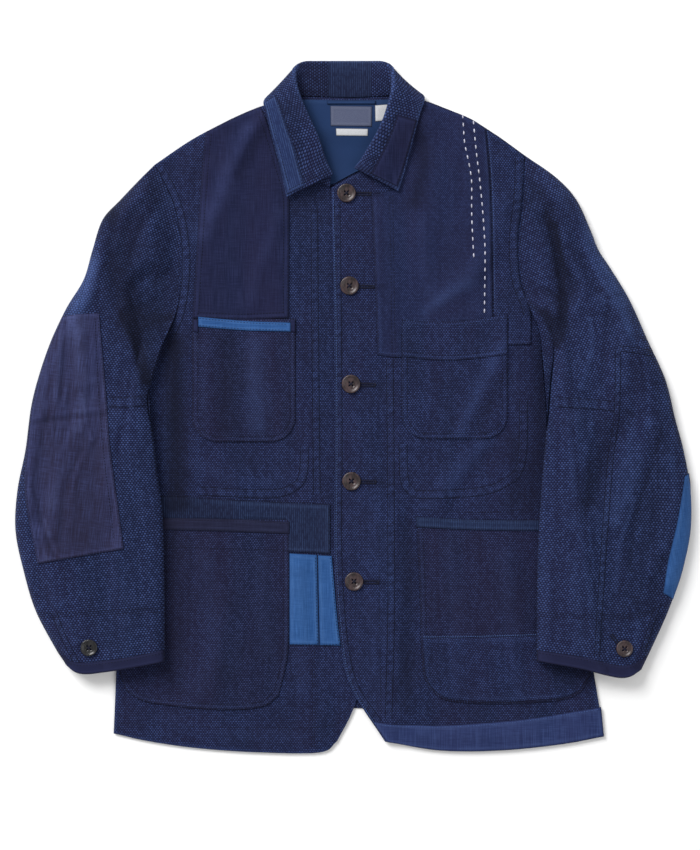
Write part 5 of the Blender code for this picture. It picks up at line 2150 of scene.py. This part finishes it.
@dataclass
class Sleeve:
    """One two-piece sleeve with its elbow patch, seams and bound cuff.

    Attributes:
        side: which sleeve it is.
        upper_cell: grid cell of the upper wall in millimetres.
        under_cell: grid cell of the lower wall.
    """

    side: Side
    upper_cell: float = 2.6
    under_cell: float = 5.0

    def build(self, shop: Workshop, navy: StitchBag) -> Form:
        """Sew the two walls and what is on the upper one, and return its form."""
        word = self.side.name.lower()
        right = self.side is Side.RIGHT
        outline = SLEEVE_RIGHT_OUTLINE if right else SLEEVE_LEFT_OUTLINE
        lower, upper = UnderSleeveForm(self.side), SleeveForm(self.side)
        centre = SLEEVE_CENTRES[self.side]
        cuts = (
            (0.182, 0.549, 0.0668), (0.192, 0.56, 0.0728)
        ) if right else ((0.19, 0.562, 0.0695), (0.2, 0.572, 0.0762))
        for layer, form, cell, cut, under in (
            ("under", lower, self.under_cell, cuts[0], ""),
            ("upper", upper, self.upper_cell, cuts[1], f"sleeve_under_{word}_cloth"),
        ):
            SewnPiece(
                f"sleeve_{layer}_{word}_cloth", f"sleeve_{layer}_{word}", outline, RICE_SLEEVE, cut,
                cell=cell, centre=centre, edge=(0.0, 0.1, 0.05), rests_on=under,
            ).sew(shop, form, True)
        if right:
            self.right_details(shop, upper, navy)
        else:
            self.left_details(shop, upper, navy)
        return upper

    def seams(
        self, shop: Workshop, seams: tuple[tuple[str, Line, float, float], ...], upper: Form,
        navy: StitchBag
    ) -> None:
        """Felled seams of the upper wall: name, line, width and rise."""
        host = f"sleeve_upper_{self.side.name.lower()}_cloth"
        for name, line, width, rise in seams:
            Ridge(
                name, line, RICE_SLEEVE, width, rise, centre=SLEEVE_CENTRES[self.side], host=host
            ).sew(shop, upper, navy)

    def right_details(self, shop: Workshop, upper: Form, navy: StitchBag) -> None:
        """Elbow patch, two-row seam, cuff lines and binding of the right sleeve."""
        elbow = SewnPiece.of_solid(
            "elbow_patch_right",
            Outline(
                top=(((63.5, 317), (82, 315), (101, 314)),),
                bottom=(((40, 563), (80, 556), (126, 548)),),
                left=(((63.5, 317), (49.5, 350), (34.5, 400), (27.5, 452), (28, 500), (40, 563)),),
                right=(((101, 314), (107.8, 391), (112.6, 450), (126, 548)),),
            ),
            PURPLE_BROWN, (0.108, 0.27, 0.0222), cell=2.0, grain=-6.0,
            rests_on="sleeve_upper_right_cloth",
        )
        elbow.sew(shop, upper)
        sew_edges(elbow, upper, navy, (1.7,))
        raised = RaisedForm(upper, 1.3)
        navy.row(raised, smooth(plan(((97, 318), (100.5, 391), (105.5, 450), (116, 540)))))
        cuff = SewnPiece.of_solid(
            "cuff_binding_right",
            strip(
                ((58.5, 651.5), (80, 661), (120, 657), (165.3, 648.5)),
                ((66, 663.2), (84, 672.3), (120, 668.3), (165.6, 660.3))
            ),
            NAVY, (0.117, 0.013, 0.00145), cell=2.2, wall=1.0, grain=90,
            rests_on="sleeve_upper_right_cloth",
        )
        cuff.sew(shop, upper)
        navy.row(
            RaisedForm(upper, 1.2), smooth(plan(((61, 655), (80, 663.5), (120, 659.5), (165, 651))))
        )
        seams = (
            ("elbow_seam_right", ((110, 402), (128, 402.5), (148, 401)), 10.0, 0.6),
            ("vent_seam_right", ((56, 611), (66, 636), (80, 664)), 5.0, 0.5),
        )
        self.seams(shop, seams, upper, navy)
        for line in (
            ((38, 612), (80, 611), (125, 608), (164, 607)),
            ((38, 616), (80, 615), (125, 612), (164, 611)),
            ((88, 275), (80, 312)),
            ((66, 566), (70, 600), (78, 640)),
        ):
            navy.row(upper, smooth(plan(line)))
        navy.row(upper, inset(smooth(plan(ARMHOLE_RIGHT)), 3.0), skip=(10, 10))

    def left_details(self, shop: Workshop, upper: Form, navy: StitchBag) -> None:
        """Elbow patch, long seam, two-row seam, cuff lines and binding of the left sleeve."""
        elbow = SewnPiece.of_solid(
            "elbow_patch_left",
            Outline(
                top=(((683, 476), (688.2, 473)),),
                bottom=(((661, 592), (672.5, 599)),),
                left=(((683, 476), (675, 520), (666, 559), (661, 592)),),
                right=(((688.2, 473), (690, 490), (690, 530), (682, 570), (672.5, 599)),),
            ),
            BRIGHT_BLUE, (0.032, 0.137, 0.003), cell=2.0, grain=10.0,
            rests_on="sleeve_upper_left_cloth",
        )
        elbow.sew(shop, upper)
        cuff = SewnPiece.of_solid(
            "cuff_binding_left",
            strip(
                ((536.2, 648.5), (580, 655), (622, 664), (648, 654)),
                ((535.9, 659.3), (580, 667.3), (620, 676.3), (641, 668.4))
            ),
            NAVY, (0.122, 0.0145, 0.00165), cell=2.2, wall=1.0, grain=90,
            rests_on="sleeve_upper_left_cloth",
        )
        cuff.sew(shop, upper)
        navy.row(
            RaisedForm(upper, 1.2),
            smooth(plan(((537, 651), (580, 657.3), (622, 666.3), (646, 657))))
        )
        seams = (
            ("elbow_seam_left", ((553, 402), (585, 404), (612, 406.5)), 9.5, 0.6),
            (
                "long_seam_left",
                ((616, 350), (615, 415), (609, 460), (604, 520), (600, 580), (595, 655)), 5.0, 0.45
            ),
            ("upper_seam_left", ((616, 349), (634, 351), (651, 354)), 5.0, 0.45),
            ("vent_seam_left", ((657, 602), (650, 622), (641, 650)), 4.5, 0.5),
        )
        self.seams(shop, seams, upper, navy)
        for line in (
            ((538, 611), (580, 613), (625, 613), (655, 609)),
            ((538, 615), (580, 617), (625, 617), (653, 613))
        ):
            navy.row(upper, smooth(plan(line)))
        navy.row(upper, inset(smooth(plan(ARMHOLE_LEFT)), -3.0), skip=(10, 10))


# Collar

# Stations from the right front end, over the back of the neck, to the left one: neck seam,
# roll line and fall edge as plan x, plan y and height in millimetres (None rests on the
# front), and the turn of the fall about the roll: 0 on the stand, 90 beside it, 180 under it
STATIONS = (
    ((330, 188, None), (331, 176.5, 9.5), (287, 198, None), 0),
    ((318, 181, None), (324, 162, 12.5), (283.5, 182, None), 0),
    ((306, 170, None), (317, 141, 15.5), (276, 152, None), 0),
    ((296, 152, None), (307, 119, 17.5), (269.5, 128, None), 0),
    ((291, 128, None), (299, 100, 17.5), (266.5, 113, None), 12),
    ((289, 111, None), (295, 86, 15.0), (264, 105, 10.0), 45),
    ((291, 97, 5.6), (294.5, 74, 10.5), (265.5, 100, 5.0), 90),
    ((297, 96, 4.6), (298, 67.5, 6.6), (271, 101, 1.8), 140),
    ((306, 96.4, 3.8), (305, 64.5, 3.5), (285, 107, 1.15), 180),
    ((317, 96.8, 3.8), (316.5, 64.3, 3.4), (306, 110, 1.15), 180),
    ((328, 97.2, 3.8), (328, 64.3, 3.4), (328, 111, 1.15), 180),
    ((350, 97.6, 3.8), (350, 64.3, 3.4), (350, 111, 1.15), 180),
    ((371, 96.9, 3.8), (371, 64.3, 3.4), (371, 111, 1.15), 180),
    ((388, 96.0, 3.8), (383, 64.5, 3.5), (402, 107, 1.15), 180),
    ((393, 95.4, 4.6), (390.5, 68, 6.6), (417, 99.5, 1.8), 140),
    ((399, 97, 5.6), (392.5, 76, 10.5), (423.5, 96.8, 5.0), 90),
    ((402.5, 109, None), (393.5, 90, 15.0), (424, 103, 11.0), 45),
    ((404, 124, None), (390, 107, 17.5), (420, 114, None), 12),
    ((402, 141, None), (382.5, 128, 17.5), (413.5, 138, None), 0),
    ((394, 155, None), (370.5, 150, 15.5), (406.5, 165, None), 0),
    ((381, 167, None), (361.5, 164, 12.5), (401.5, 182, None), 0),
    ((364, 173.5, None), (356.5, 170, 9.5), (398, 192, None), 0),
)


@dataclass
class Collar:
    """Stand and fall in one bent strip.

    Attributes:
        per: rows from each station to the next.
        roll_radius: of the bend at the roll line, in millimetres.
        swell: how far the fall bows up between its edges.
    """

    per: int = 8
    roll_radius: float = 2.1
    swell: float = 1.6

    def stations(self, right: Form, left: Form) -> tuple[Array, ...]:
        """Smooth neck, roll and fall lines, and the lean and inward directions, row by row."""
        rows = []
        for k, (neck, roll, fall, turn) in enumerate(STATIONS):
            front, outward = (right, -1.0) if k < len(STATIONS) / 2 else (left, 1.0)
            marks = []
            for x, y, height in (neck, roll, fall):
                at = plan(((x, y),))[0]
                marks.append([*at, front.highest(at, 24.0) + 2.0 if height is None else height])
            if fall[2] is None:
                marks[2][2] += PATCH_WALL + 0.7
            turn = math.radians(turn)
            rows.append([*marks, [outward * math.sin(turn), 0.0, math.cos(turn)]])
        table = np.array(rows)
        whole = smooth(table.reshape(len(rows), -1), self.per).reshape(-1, 4, 3)
        neck, roll, fall, lean = whole[:, 0], whole[:, 1], whole[:, 2], whole[:, 3]
        lean = lean / np.linalg.norm(lean, axis=1)[:, None]
        inward = roll - (neck + fall) / 2
        inward = inward - (inward * lean).sum(axis=1)[:, None] * lean
        return neck, roll, fall, lean, inward / np.linalg.norm(inward, axis=1)[:, None]

    def fall_column(self, lines: tuple[Array, ...], share: float) -> Array:
        """The fall at a share of its width: straight from roll to edge, bowed by a sine."""
        _, roll, fall, lean, _ = lines
        top = roll + self.roll_radius * lean
        bow = self.swell * math.sin(math.pi * share) * np.clip(lean[:, 2:], 0, 1)
        return (1 - share) * top + share * fall + bow * lean

    def middle(self, lines: tuple[Array, ...]) -> Array:
        """The strip's middle surface, rows by columns: stand, roll, then fall."""
        neck, roll, _, lean, inward = lines
        stand = roll - self.roll_radius * lean
        columns = [neck + (stand - neck) * share for share in (0.0, 0.05, 0.35, 0.7, 1.0)]
        for turn in (-55, -20, 20, 55):
            a = math.radians(turn)
            columns.append(roll + self.roll_radius * (math.sin(a) * lean + math.cos(a) * inward))
        columns += [
            self.fall_column(lines, share)
            for share in (0.0, 0.12, 0.25, 0.38, 0.51, 0.64, 0.77, 0.89, 0.965, 1.0)
        ]
        return np.stack(columns, axis=1)

    def build(self, shop: Workshop, right: Form, left: Form, navy: StitchBag) -> None:
        """Sew the collar's three cloths, its outer strip and its patch."""
        lines = self.stations(right, left)
        middle = self.middle(lines)
        normal = np.cross(np.gradient(middle, axis=0), np.gradient(middle, axis=1))
        normal = normal / np.linalg.norm(normal, axis=2)[..., None]
        rows = middle.shape[0]
        cloth = np.dstack([
            np.broadcast_to(lengths_along(middle[:, 0])[:, None], middle.shape[:2]),
            np.cumsum(
                np.linalg.norm(np.diff(middle, axis=1, prepend=middle[:, :1]), axis=2), axis=1
            ),
        ])
        # Per column: painted shade down the stand towards the neck seam, rubbed pale over the roll
        # and at the fall's edge.
        column_wear_and_shade = np.array(
            [
                -0.3, -0.2, -0.1, 0.0, 0.1, 0.35, 0.5, 0.5, 0.35, 0.05, 0, 0, 0, 0, 0, 0.05, 0.2,
                0.6, 0.7
            ]
        )
        thin = np.ones(len(column_wear_and_shade))
        thin[-1], thin[-2], thin[0] = 0.45, 0.9, 0.6
        tone = np.broadcast_to(column_wear_and_shade, middle.shape[:2]).copy()
        # Painted shade inside the stand behind the neck.
        tone[7 * self.per : 10 * self.per + 1, :6] -= 0.45
        tone[14 * self.per : 16 * self.per, :6] -= 0.3
        cuts = (0, 10 * self.per, 12 * self.per, rows - 1)
        for name, start, end, finish, flat in (
            ("collar_right", cuts[0], cuts[1], RICE_SLEEVE, (0.21, 0.105, 0.0124)),
            ("collar_back", cuts[1], cuts[2], STRIPED, (0.047, 0.1, 0.0044)),
            ("collar_left", cuts[2], cuts[3], RICE_SLEEVE, (0.19, 0.105, 0.0104)),
        ):
            part = slice(start, end + 1)
            ends = np.ones(end + 1 - start)
            for edge in (0, -1):
                if (name, edge) in (("collar_right", 0), ("collar_left", -1)):
                    ends[edge] = COLLAR_THIN_END
            half = COLLAR_WALL / 2 * thin[None, :] * ends[:, None]
            over = middle[part] + normal[part] * half[..., None]
            under = middle[part] - normal[part] * half[..., None]
            places = cloth[part] if finish is STRIPED else cloth[part][..., ::-1]
            piece = sewn_sheet(
                f"{name}_cloth", under, over, places, tone[part], shop.material(finish)
            )
            self.turn_out(piece)
            shop.hand_over(piece, finish, name)
            shop.cut(piece, SewnCloth(*flat, ("back_cloth",), "folded"))
        self.overlays(shop, lines)
        self.stitches(lines, navy)

    def turn_out(self, piece: bpy.types.Object) -> None:
        """Flip a piece whose faces point inwards, by the sign of its volume."""
        mesh = piece.data
        points = np.empty(len(mesh.vertices) * 3, np.float32)
        mesh.vertices.foreach_get("co", points)
        points = points.reshape(-1, 3)
        mesh.calc_loop_triangles()
        corners = np.empty(len(mesh.loop_triangles) * 3, np.int32)
        mesh.loop_triangles.foreach_get("vertices", corners)
        a, b, c = points[corners.reshape(-1, 3)].transpose(1, 0, 2)
        if (a * np.cross(b, c)).sum() < 0:
            mesh.flip_normals()

    def overlay(
        self, lines: tuple[Array, ...], rows: slice, shares: Array, lift: float, wall: float
    ) -> tuple[Array, Array]:
        """Lower and upper side of a piece on the fall, between two shares of its width."""
        wide = np.stack([self.fall_column(lines, float(share)) for share in shares], axis=1)
        normal = np.cross(np.gradient(wide, axis=0), np.gradient(wide, axis=1))
        normal = normal / np.linalg.norm(normal, axis=2)[..., None]
        normal = np.where(normal[..., 2:] < 0, -normal, normal)[rows]
        wide = wide[rows]
        thick = wall * (1 - rim_of(wide.shape[:2], (0.5, 0.05)))[..., None]
        low = wide + normal * (COLLAR_WALL / 2 + lift)
        return low, low + normal * thick

    def overlays(self, shop: Workshop, lines: tuple[Array, ...]) -> None:
        """The pale outer strip of the right fall and the plain patch on the left one."""
        for name, node, rows, shares, finish, turn, cut in (
            (
                "collar_strip_right_cloth", None, slice(1, 5 * self.per),
                np.linspace(0.56, 0.985, 10), STRIPED_PALE, 14.0, (0.024, 0.108, 0.00196)
            ),
            (
                "collar_patch_left_cloth", "collar_patch_left",
                slice(17 * self.per + 3, 21 * self.per - 2), np.linspace(0.3, 0.95, 12),
                SLUB_PURPLE, 0.0, (0.03, 0.078, 0.0019)
            ),
        ):
            low, high = self.overlay(lines, rows, shares, 0.05, 0.75)
            # A painted shadow line at the very edge, and a rubbed pale ring inside it.
            tone = rim_of(low.shape[:2], (-0.9, 0.3, 0.05))
            piece = sewn_sheet(
                name, high, low, turned(low[..., :2], turn), tone, shop.material(finish)
            )
            self.turn_out(piece)
            shop.hand_over(piece, finish, *([node] if node else []))
            shop.cut(
                piece,
                SewnCloth(*cut, ("collar_right_cloth" if node is None else "collar_left_cloth",))
            )

    def stitches(self, lines: tuple[Array, ...], navy: StitchBag) -> None:
        """Rows inside the fall's edge and ends, beside the roll, and on the two small cloths."""
        every = slice(0, len(lines[0]))
        lift = COLLAR_WALL / 2 - 1.0
        for share, raised, rows in (
            (0.9, 0.8, slice(2, 5 * self.per)),
            (0.6, 0.8, slice(2, 5 * self.per)),
            (0.53, 0.0, slice(2, 5 * self.per)),
            (0.9, 0.8, slice(17 * self.per + 2, 21 * self.per - 2)),
            (0.92, 0.0, slice(15 * self.per, 17 * self.per + 2)),
            (0.34, 0.8, slice(17 * self.per + 4, 21 * self.per - 3)),
            (0.24, 0.0, slice(16 * self.per, 21 * self.per)),
        ):
            line = self.overlay(
                lines, every, np.array([share - 0.03, share, share + 0.03]), lift + raised, 0.1
            )[0][:, 1]
            navy.along(line[rows] + (0.0, 0.0, 0.1))
        shares = np.linspace(0.06, 0.92, 14)
        ends = self.overlay(lines, every, shares, lift + 0.05, 0.1)[0]
        for row in (3, -4):
            navy.along(
                ends[row] + (0.0, 0.0, 0.1) + np.outer(
                    (shares > (0.56 if row > 0 else 0.3)) * 0.8, (0, 0, 1)
                )
            )


# Buttons


@dataclass
class Button:
    """A four-hole horn button with its thread.

    Attributes:
        name: the node it stands for.
        at: its middle in the plan.
        finish: the horn.
        radius: in millimetres.
        thick: in millimetres.
    """

    name: str
    at: tuple[float, float]
    finish: HornFinish
    radius: float = 10.0
    thick: float = 2.6

    def profile(self) -> Array:
        """Half section from the middle of the back to the middle of the dish."""
        r, t = self.radius, self.thick
        return np.array([
            (0, 0), (0.8 * r, 0), (0.93 * r, 0.12 * t), (0.99 * r, 0.4 * t), (r, 0.6 * t),
            (0.985 * r, 0.82 * t),
            (0.94 * r, 0.96 * t), (0.88 * r, t), (0.82 * r, 0.97 * t), (0.75 * r, 0.8 * t),
            (0.68 * r, 0.62 * t),
            (0.55 * r, 0.56 * t), (0.3 * r, 0.54 * t), (0, 0.54 * t),
        ])

    def turned_mesh(self, sides: int = 44) -> tuple[Array, list[tuple[int, ...]]]:
        """The profile turned about Z."""
        profile = self.profile()
        a = np.linspace(0, 2 * math.pi, sides, endpoint=False)[:, None]
        ring = profile[1:-1]
        points = np.dstack(
            [
                ring[:, 0] * np.cos(a), ring[:, 0] * np.sin(a),
                np.broadcast_to(ring[:, 1], (sides, len(ring)))
            ]
        )
        count = len(ring)
        faces: list[tuple[int, ...]] = []
        for step in range(sides):
            here, there = step * count, (step + 1) % sides * count
            faces += [(here + k, there + k, there + k + 1, here + k + 1) for k in range(count - 1)]
            faces.append((sides * count, there, here))
            faces.append((sides * count + 1, here + count - 1, there + count - 1))
        poles = np.array([(0, 0, profile[0, 1]), (0, 0, profile[-1, 1])])
        return np.vstack([points.reshape(-1, 3), poles]), faces

    def build(self, shop: Workshop, form: Form, thread: StitchBag) -> None:
        """Turn the button, drill its holes, lay it on its cloth and sew it on."""
        points, faces = self.turned_mesh()
        body = finished_mesh(f"{self.name}_horn", points, faces, shop.material(self.finish), 40)
        drills = []
        for k in range(4):
            a = math.radians(45 + 90 * k)
            turn = np.linspace(0, 2 * math.pi, DRILL_SIDES, endpoint=False)
            ring = np.column_stack(
                [
                    HOLE_RADIUS * np.cos(turn) + HOLE_RING * math.cos(a),
                    HOLE_RADIUS * np.sin(turn) + HOLE_RING * math.sin(a)
                ]
            )
            tube = np.vstack(
                [np.column_stack([ring, np.full(DRILL_SIDES, z)]) for z in (-1.0, 4.0)]
            )
            sides = [
                (i, (i + 1) % DRILL_SIDES, DRILL_SIDES + (i + 1) % DRILL_SIDES, DRILL_SIDES + i)
                for i in range(DRILL_SIDES)
            ]
            drills.append(
                finished_mesh(
                    f"drill_{k}", tube,
                    [
                        *sides, tuple(range(DRILL_SIDES))[::-1],
                        tuple(range(DRILL_SIDES, 2 * DRILL_SIDES))
                    ], shop.material(self.finish)
                )
            )
            cut = body.modifiers.new(f"hole_{k}", "BOOLEAN")
            cut.operation, cut.solver, cut.object = "DIFFERENCE", "EXACT", drills[-1]
        bpy.context.view_layer.update()
        drilled = bpy.data.meshes.new_from_object(
            body.evaluated_get(bpy.context.evaluated_depsgraph_get())
        )
        body.modifiers.clear()
        body.data = drilled
        for drill in drills:
            bpy.data.objects.remove(drill, do_unlink=True)
        self.lay(body, form, thread)
        shop.hand_over(body, self.finish, self.name)

    def lay(self, body: bpy.types.Object, form: Form, thread: StitchBag) -> None:
        """Move the mesh to its place, with its top at its solid's, and tilt it to the cloth."""
        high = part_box(self.name)[1]
        at = plan((self.at,))[0]
        reach = 8.0
        slope_x = float(form.top(at + (reach, 0)) - form.top(at - (reach, 0))) / (2 * reach)
        slope_y = float(form.top(at + (0, reach)) - form.top(at - (0, reach))) / (2 * reach)
        slope_x, slope_y = np.clip((slope_x, slope_y), -MOST_TILT, MOST_TILT)
        mesh = body.data
        points = np.empty(len(mesh.vertices) * 3, np.float32)
        mesh.vertices.foreach_get("co", points)
        points = points.reshape(-1, 3)
        points[:, 2] += points[:, 0] * slope_x + points[:, 1] * slope_y
        middle = (at[0] / 1000, at[1] / 1000, high[2])
        points[:, :2] += middle[:2]
        points[:, 2] += middle[2] - points[:, 2].max()
        mesh.vertices.foreach_set("co", points.ravel())
        mesh.update()
        dish = RaisedForm(FlatForm(middle[2] * 1000 - 0.46 * self.thick, at, slope_x, slope_y), 0.0)
        for first, second in ((45, 225), (135, 315)):
            ends = [
                at + HOLE_RING * np.array([math.cos(math.radians(a)), math.sin(math.radians(a))])
                for a in (first, second)
            ]
            for aside in (-0.35, 0.35):
                shift = aside * np.array(
                    [math.cos(math.radians(first + 90)), math.sin(math.radians(first + 90))]
                )
                thread.at(dish, (ends[0] + shift)[None], (ends[1] + shift)[None], 0.7, 0.3)


class FlatForm(Form):
    """A tilted plane, such as the dish of a button."""

    wall = 0.0

    def __init__(self, height: float, at: Array, slope_x: float, slope_y: float) -> None:
        """Args: height: over the surface at the point. slope_x, slope_y: its tilt."""
        self.height, self.at, self.slopes = height, at, np.array([slope_x, slope_y])

    def under(self, at: Array) -> Array:
        """The plane's height."""
        return self.height + (at - self.at) @ self.slopes


@dataclass
class Buttonhole:
    """A worked buttonhole: two rows of close stitches and two bars at its far end.

    Attributes:
        start: its end under the button, in the plan.
        end: its other end.
    """

    start: tuple[float, float]
    end: tuple[float, float]

    def build(self, form: Form, thread: StitchBag) -> None:
        """Work the stitches across both lips of the slit."""
        a, b = plan((self.start, self.end))
        whole = float(np.linalg.norm(b - a))
        ahead = (b - a) / whole
        side = np.array([-ahead[1], ahead[0]])
        along = np.arange(0.4, whole, 0.85)[:, None] * ahead + a
        for sign in (-1, 1):
            thread.at(form, along + sign * 0.3 * side, along + sign * 2.3 * side, 0.9, 0.25)
        for share in (0.0, 0.6):
            end = (b + ahead * share)[None]
            thread.at(form, end - 2.4 * side, end + 2.4 * side, 1.0, 0.35)


# The studio


@dataclass
class Studio:
    """The pale floor, the soft lights and the camera that looks straight down.

    Attributes:
        aim: the middle of the picture on the surface, in metres.
        height: of the camera over the surface.
        lens: in millimetres, on a sensor 36 mm long.
        sky: strength of the even white light.
    """

    aim: tuple[float, float] = (-0.0032, -0.0194)
    height: float = 2.55
    lens: float = 100.0
    sky: float = 0.47

    def build(self) -> None:
        """Set the floor, the lights, the world and the camera."""
        self.floor()
        self.light("key", (-2.6, 3.0, 3.0), 2.6, 285.0)
        self.light("fill", (2.8, -1.0, 3.2), 3.6, 42.0)
        world = bpy.data.worlds.new("studio")
        world.use_nodes = True
        world.node_tree.nodes["Background"].inputs["Color"].default_value = (1.0, 1.0, 1.0, 1.0)
        world.node_tree.nodes["Background"].inputs["Strength"].default_value = self.sky
        bpy.context.scene.world = world
        camera = bpy.data.objects.new("camera", bpy.data.cameras.new("camera"))
        camera.data.lens, camera.data.sensor_width = self.lens, 36.0
        camera.location = (*self.aim, self.height)
        bpy.context.collection.objects.link(camera)
        bpy.context.scene.camera = camera
        bpy.context.scene.view_settings.view_transform = "Standard"

    def floor(self) -> None:
        """A wide pale table with a faint grain."""
        mesh = bpy.data.meshes.new("table")
        mesh.from_pydata([(-4, -4, 0), (4, -4, 0), (4, 4, 0), (-4, 4, 0)], [], [(0, 1, 2, 3)])
        material = bpy.data.materials.new("pale_table")
        material.use_nodes = True
        g = Graph(material.node_tree)
        shader = material.node_tree.nodes["Principled BSDF"]
        place = g.node("ShaderNodeTexCoord").outputs["Object"]
        g.put(
            shader.inputs["Base Color"],
            g.mix(g.noise(place, 60.0), (0.95, 0.95, 0.95, 1), (0.97, 0.97, 0.97, 1))
        )
        shader.inputs["Roughness"].default_value = 0.9
        mesh.materials.append(material)
        floor = bpy.data.objects.new("table", mesh)
        bpy.context.collection.objects.link(floor)

    def light(
        self, name: str, place: tuple[float, float, float], size: float, power: float
    ) -> None:
        """A square soft light that faces the jacket's middle."""
        lamp = bpy.data.lights.new(name, "AREA")
        lamp.size, lamp.energy = size, power
        made = bpy.data.objects.new(name, lamp)
        made.location = place
        from_here = -np.array(place) / np.linalg.norm(place)
        made.rotation_euler = (
            math.acos(-from_here[2]), 0.0, math.atan2(from_here[1], from_here[0]) - math.pi / 2
        )
        bpy.context.collection.objects.link(made)


def main() -> None:
    """Build the studio, then the jacket from the back up."""
    logging.basicConfig(level=logging.INFO, format="%(message)s")
    Studio().build()
    shop = Workshop(Effects())
    navy = StitchBag("navy_topstitching", NAVY_THREAD)
    blue = StitchBag("blue_topstitching", BLUE_THREAD)
    white = StitchBag("white_running_stitches", WHITE_THREAD)
    body = Body()
    back, right, left = body.build(shop)
    body.line_neck(shop, back)
    RightFrontPatches().build(shop, right, navy)
    LeftFrontPatches().build(shop, left, navy, blue, white)
    Collar().build(shop, right, left, navy)
    right_sleeve = Sleeve(Side.RIGHT).build(shop, navy)
    left_sleeve = Sleeve(Side.LEFT).build(shop, navy)
    for count, at in enumerate(
        ((346.5, 193.5), (349.5, 286), (351, 384), (351.5, 481), (354, 581)), 1
    ):
        Button(f"button_{count}", at, HORN).build(shop, left, navy)
        Buttonhole((at[0] + 1, at[1] + 0.5), (at[0] + 24, at[1] + 1.0)).build(left, navy)
    Button("cuff_button_right", (91, 646), BLACK_HORN, 9.0).build(shop, right_sleeve, navy)
    Button("cuff_button_left", (622.5, 647), HORN, 9.0).build(shop, left_sleeve, navy)
    Buttonhole((609, 633), (619, 645)).build(left_sleeve, navy)
    for bag in (navy, blue, white):
        bag.finish_up(shop)


if __name__ == "__main__":
    main()
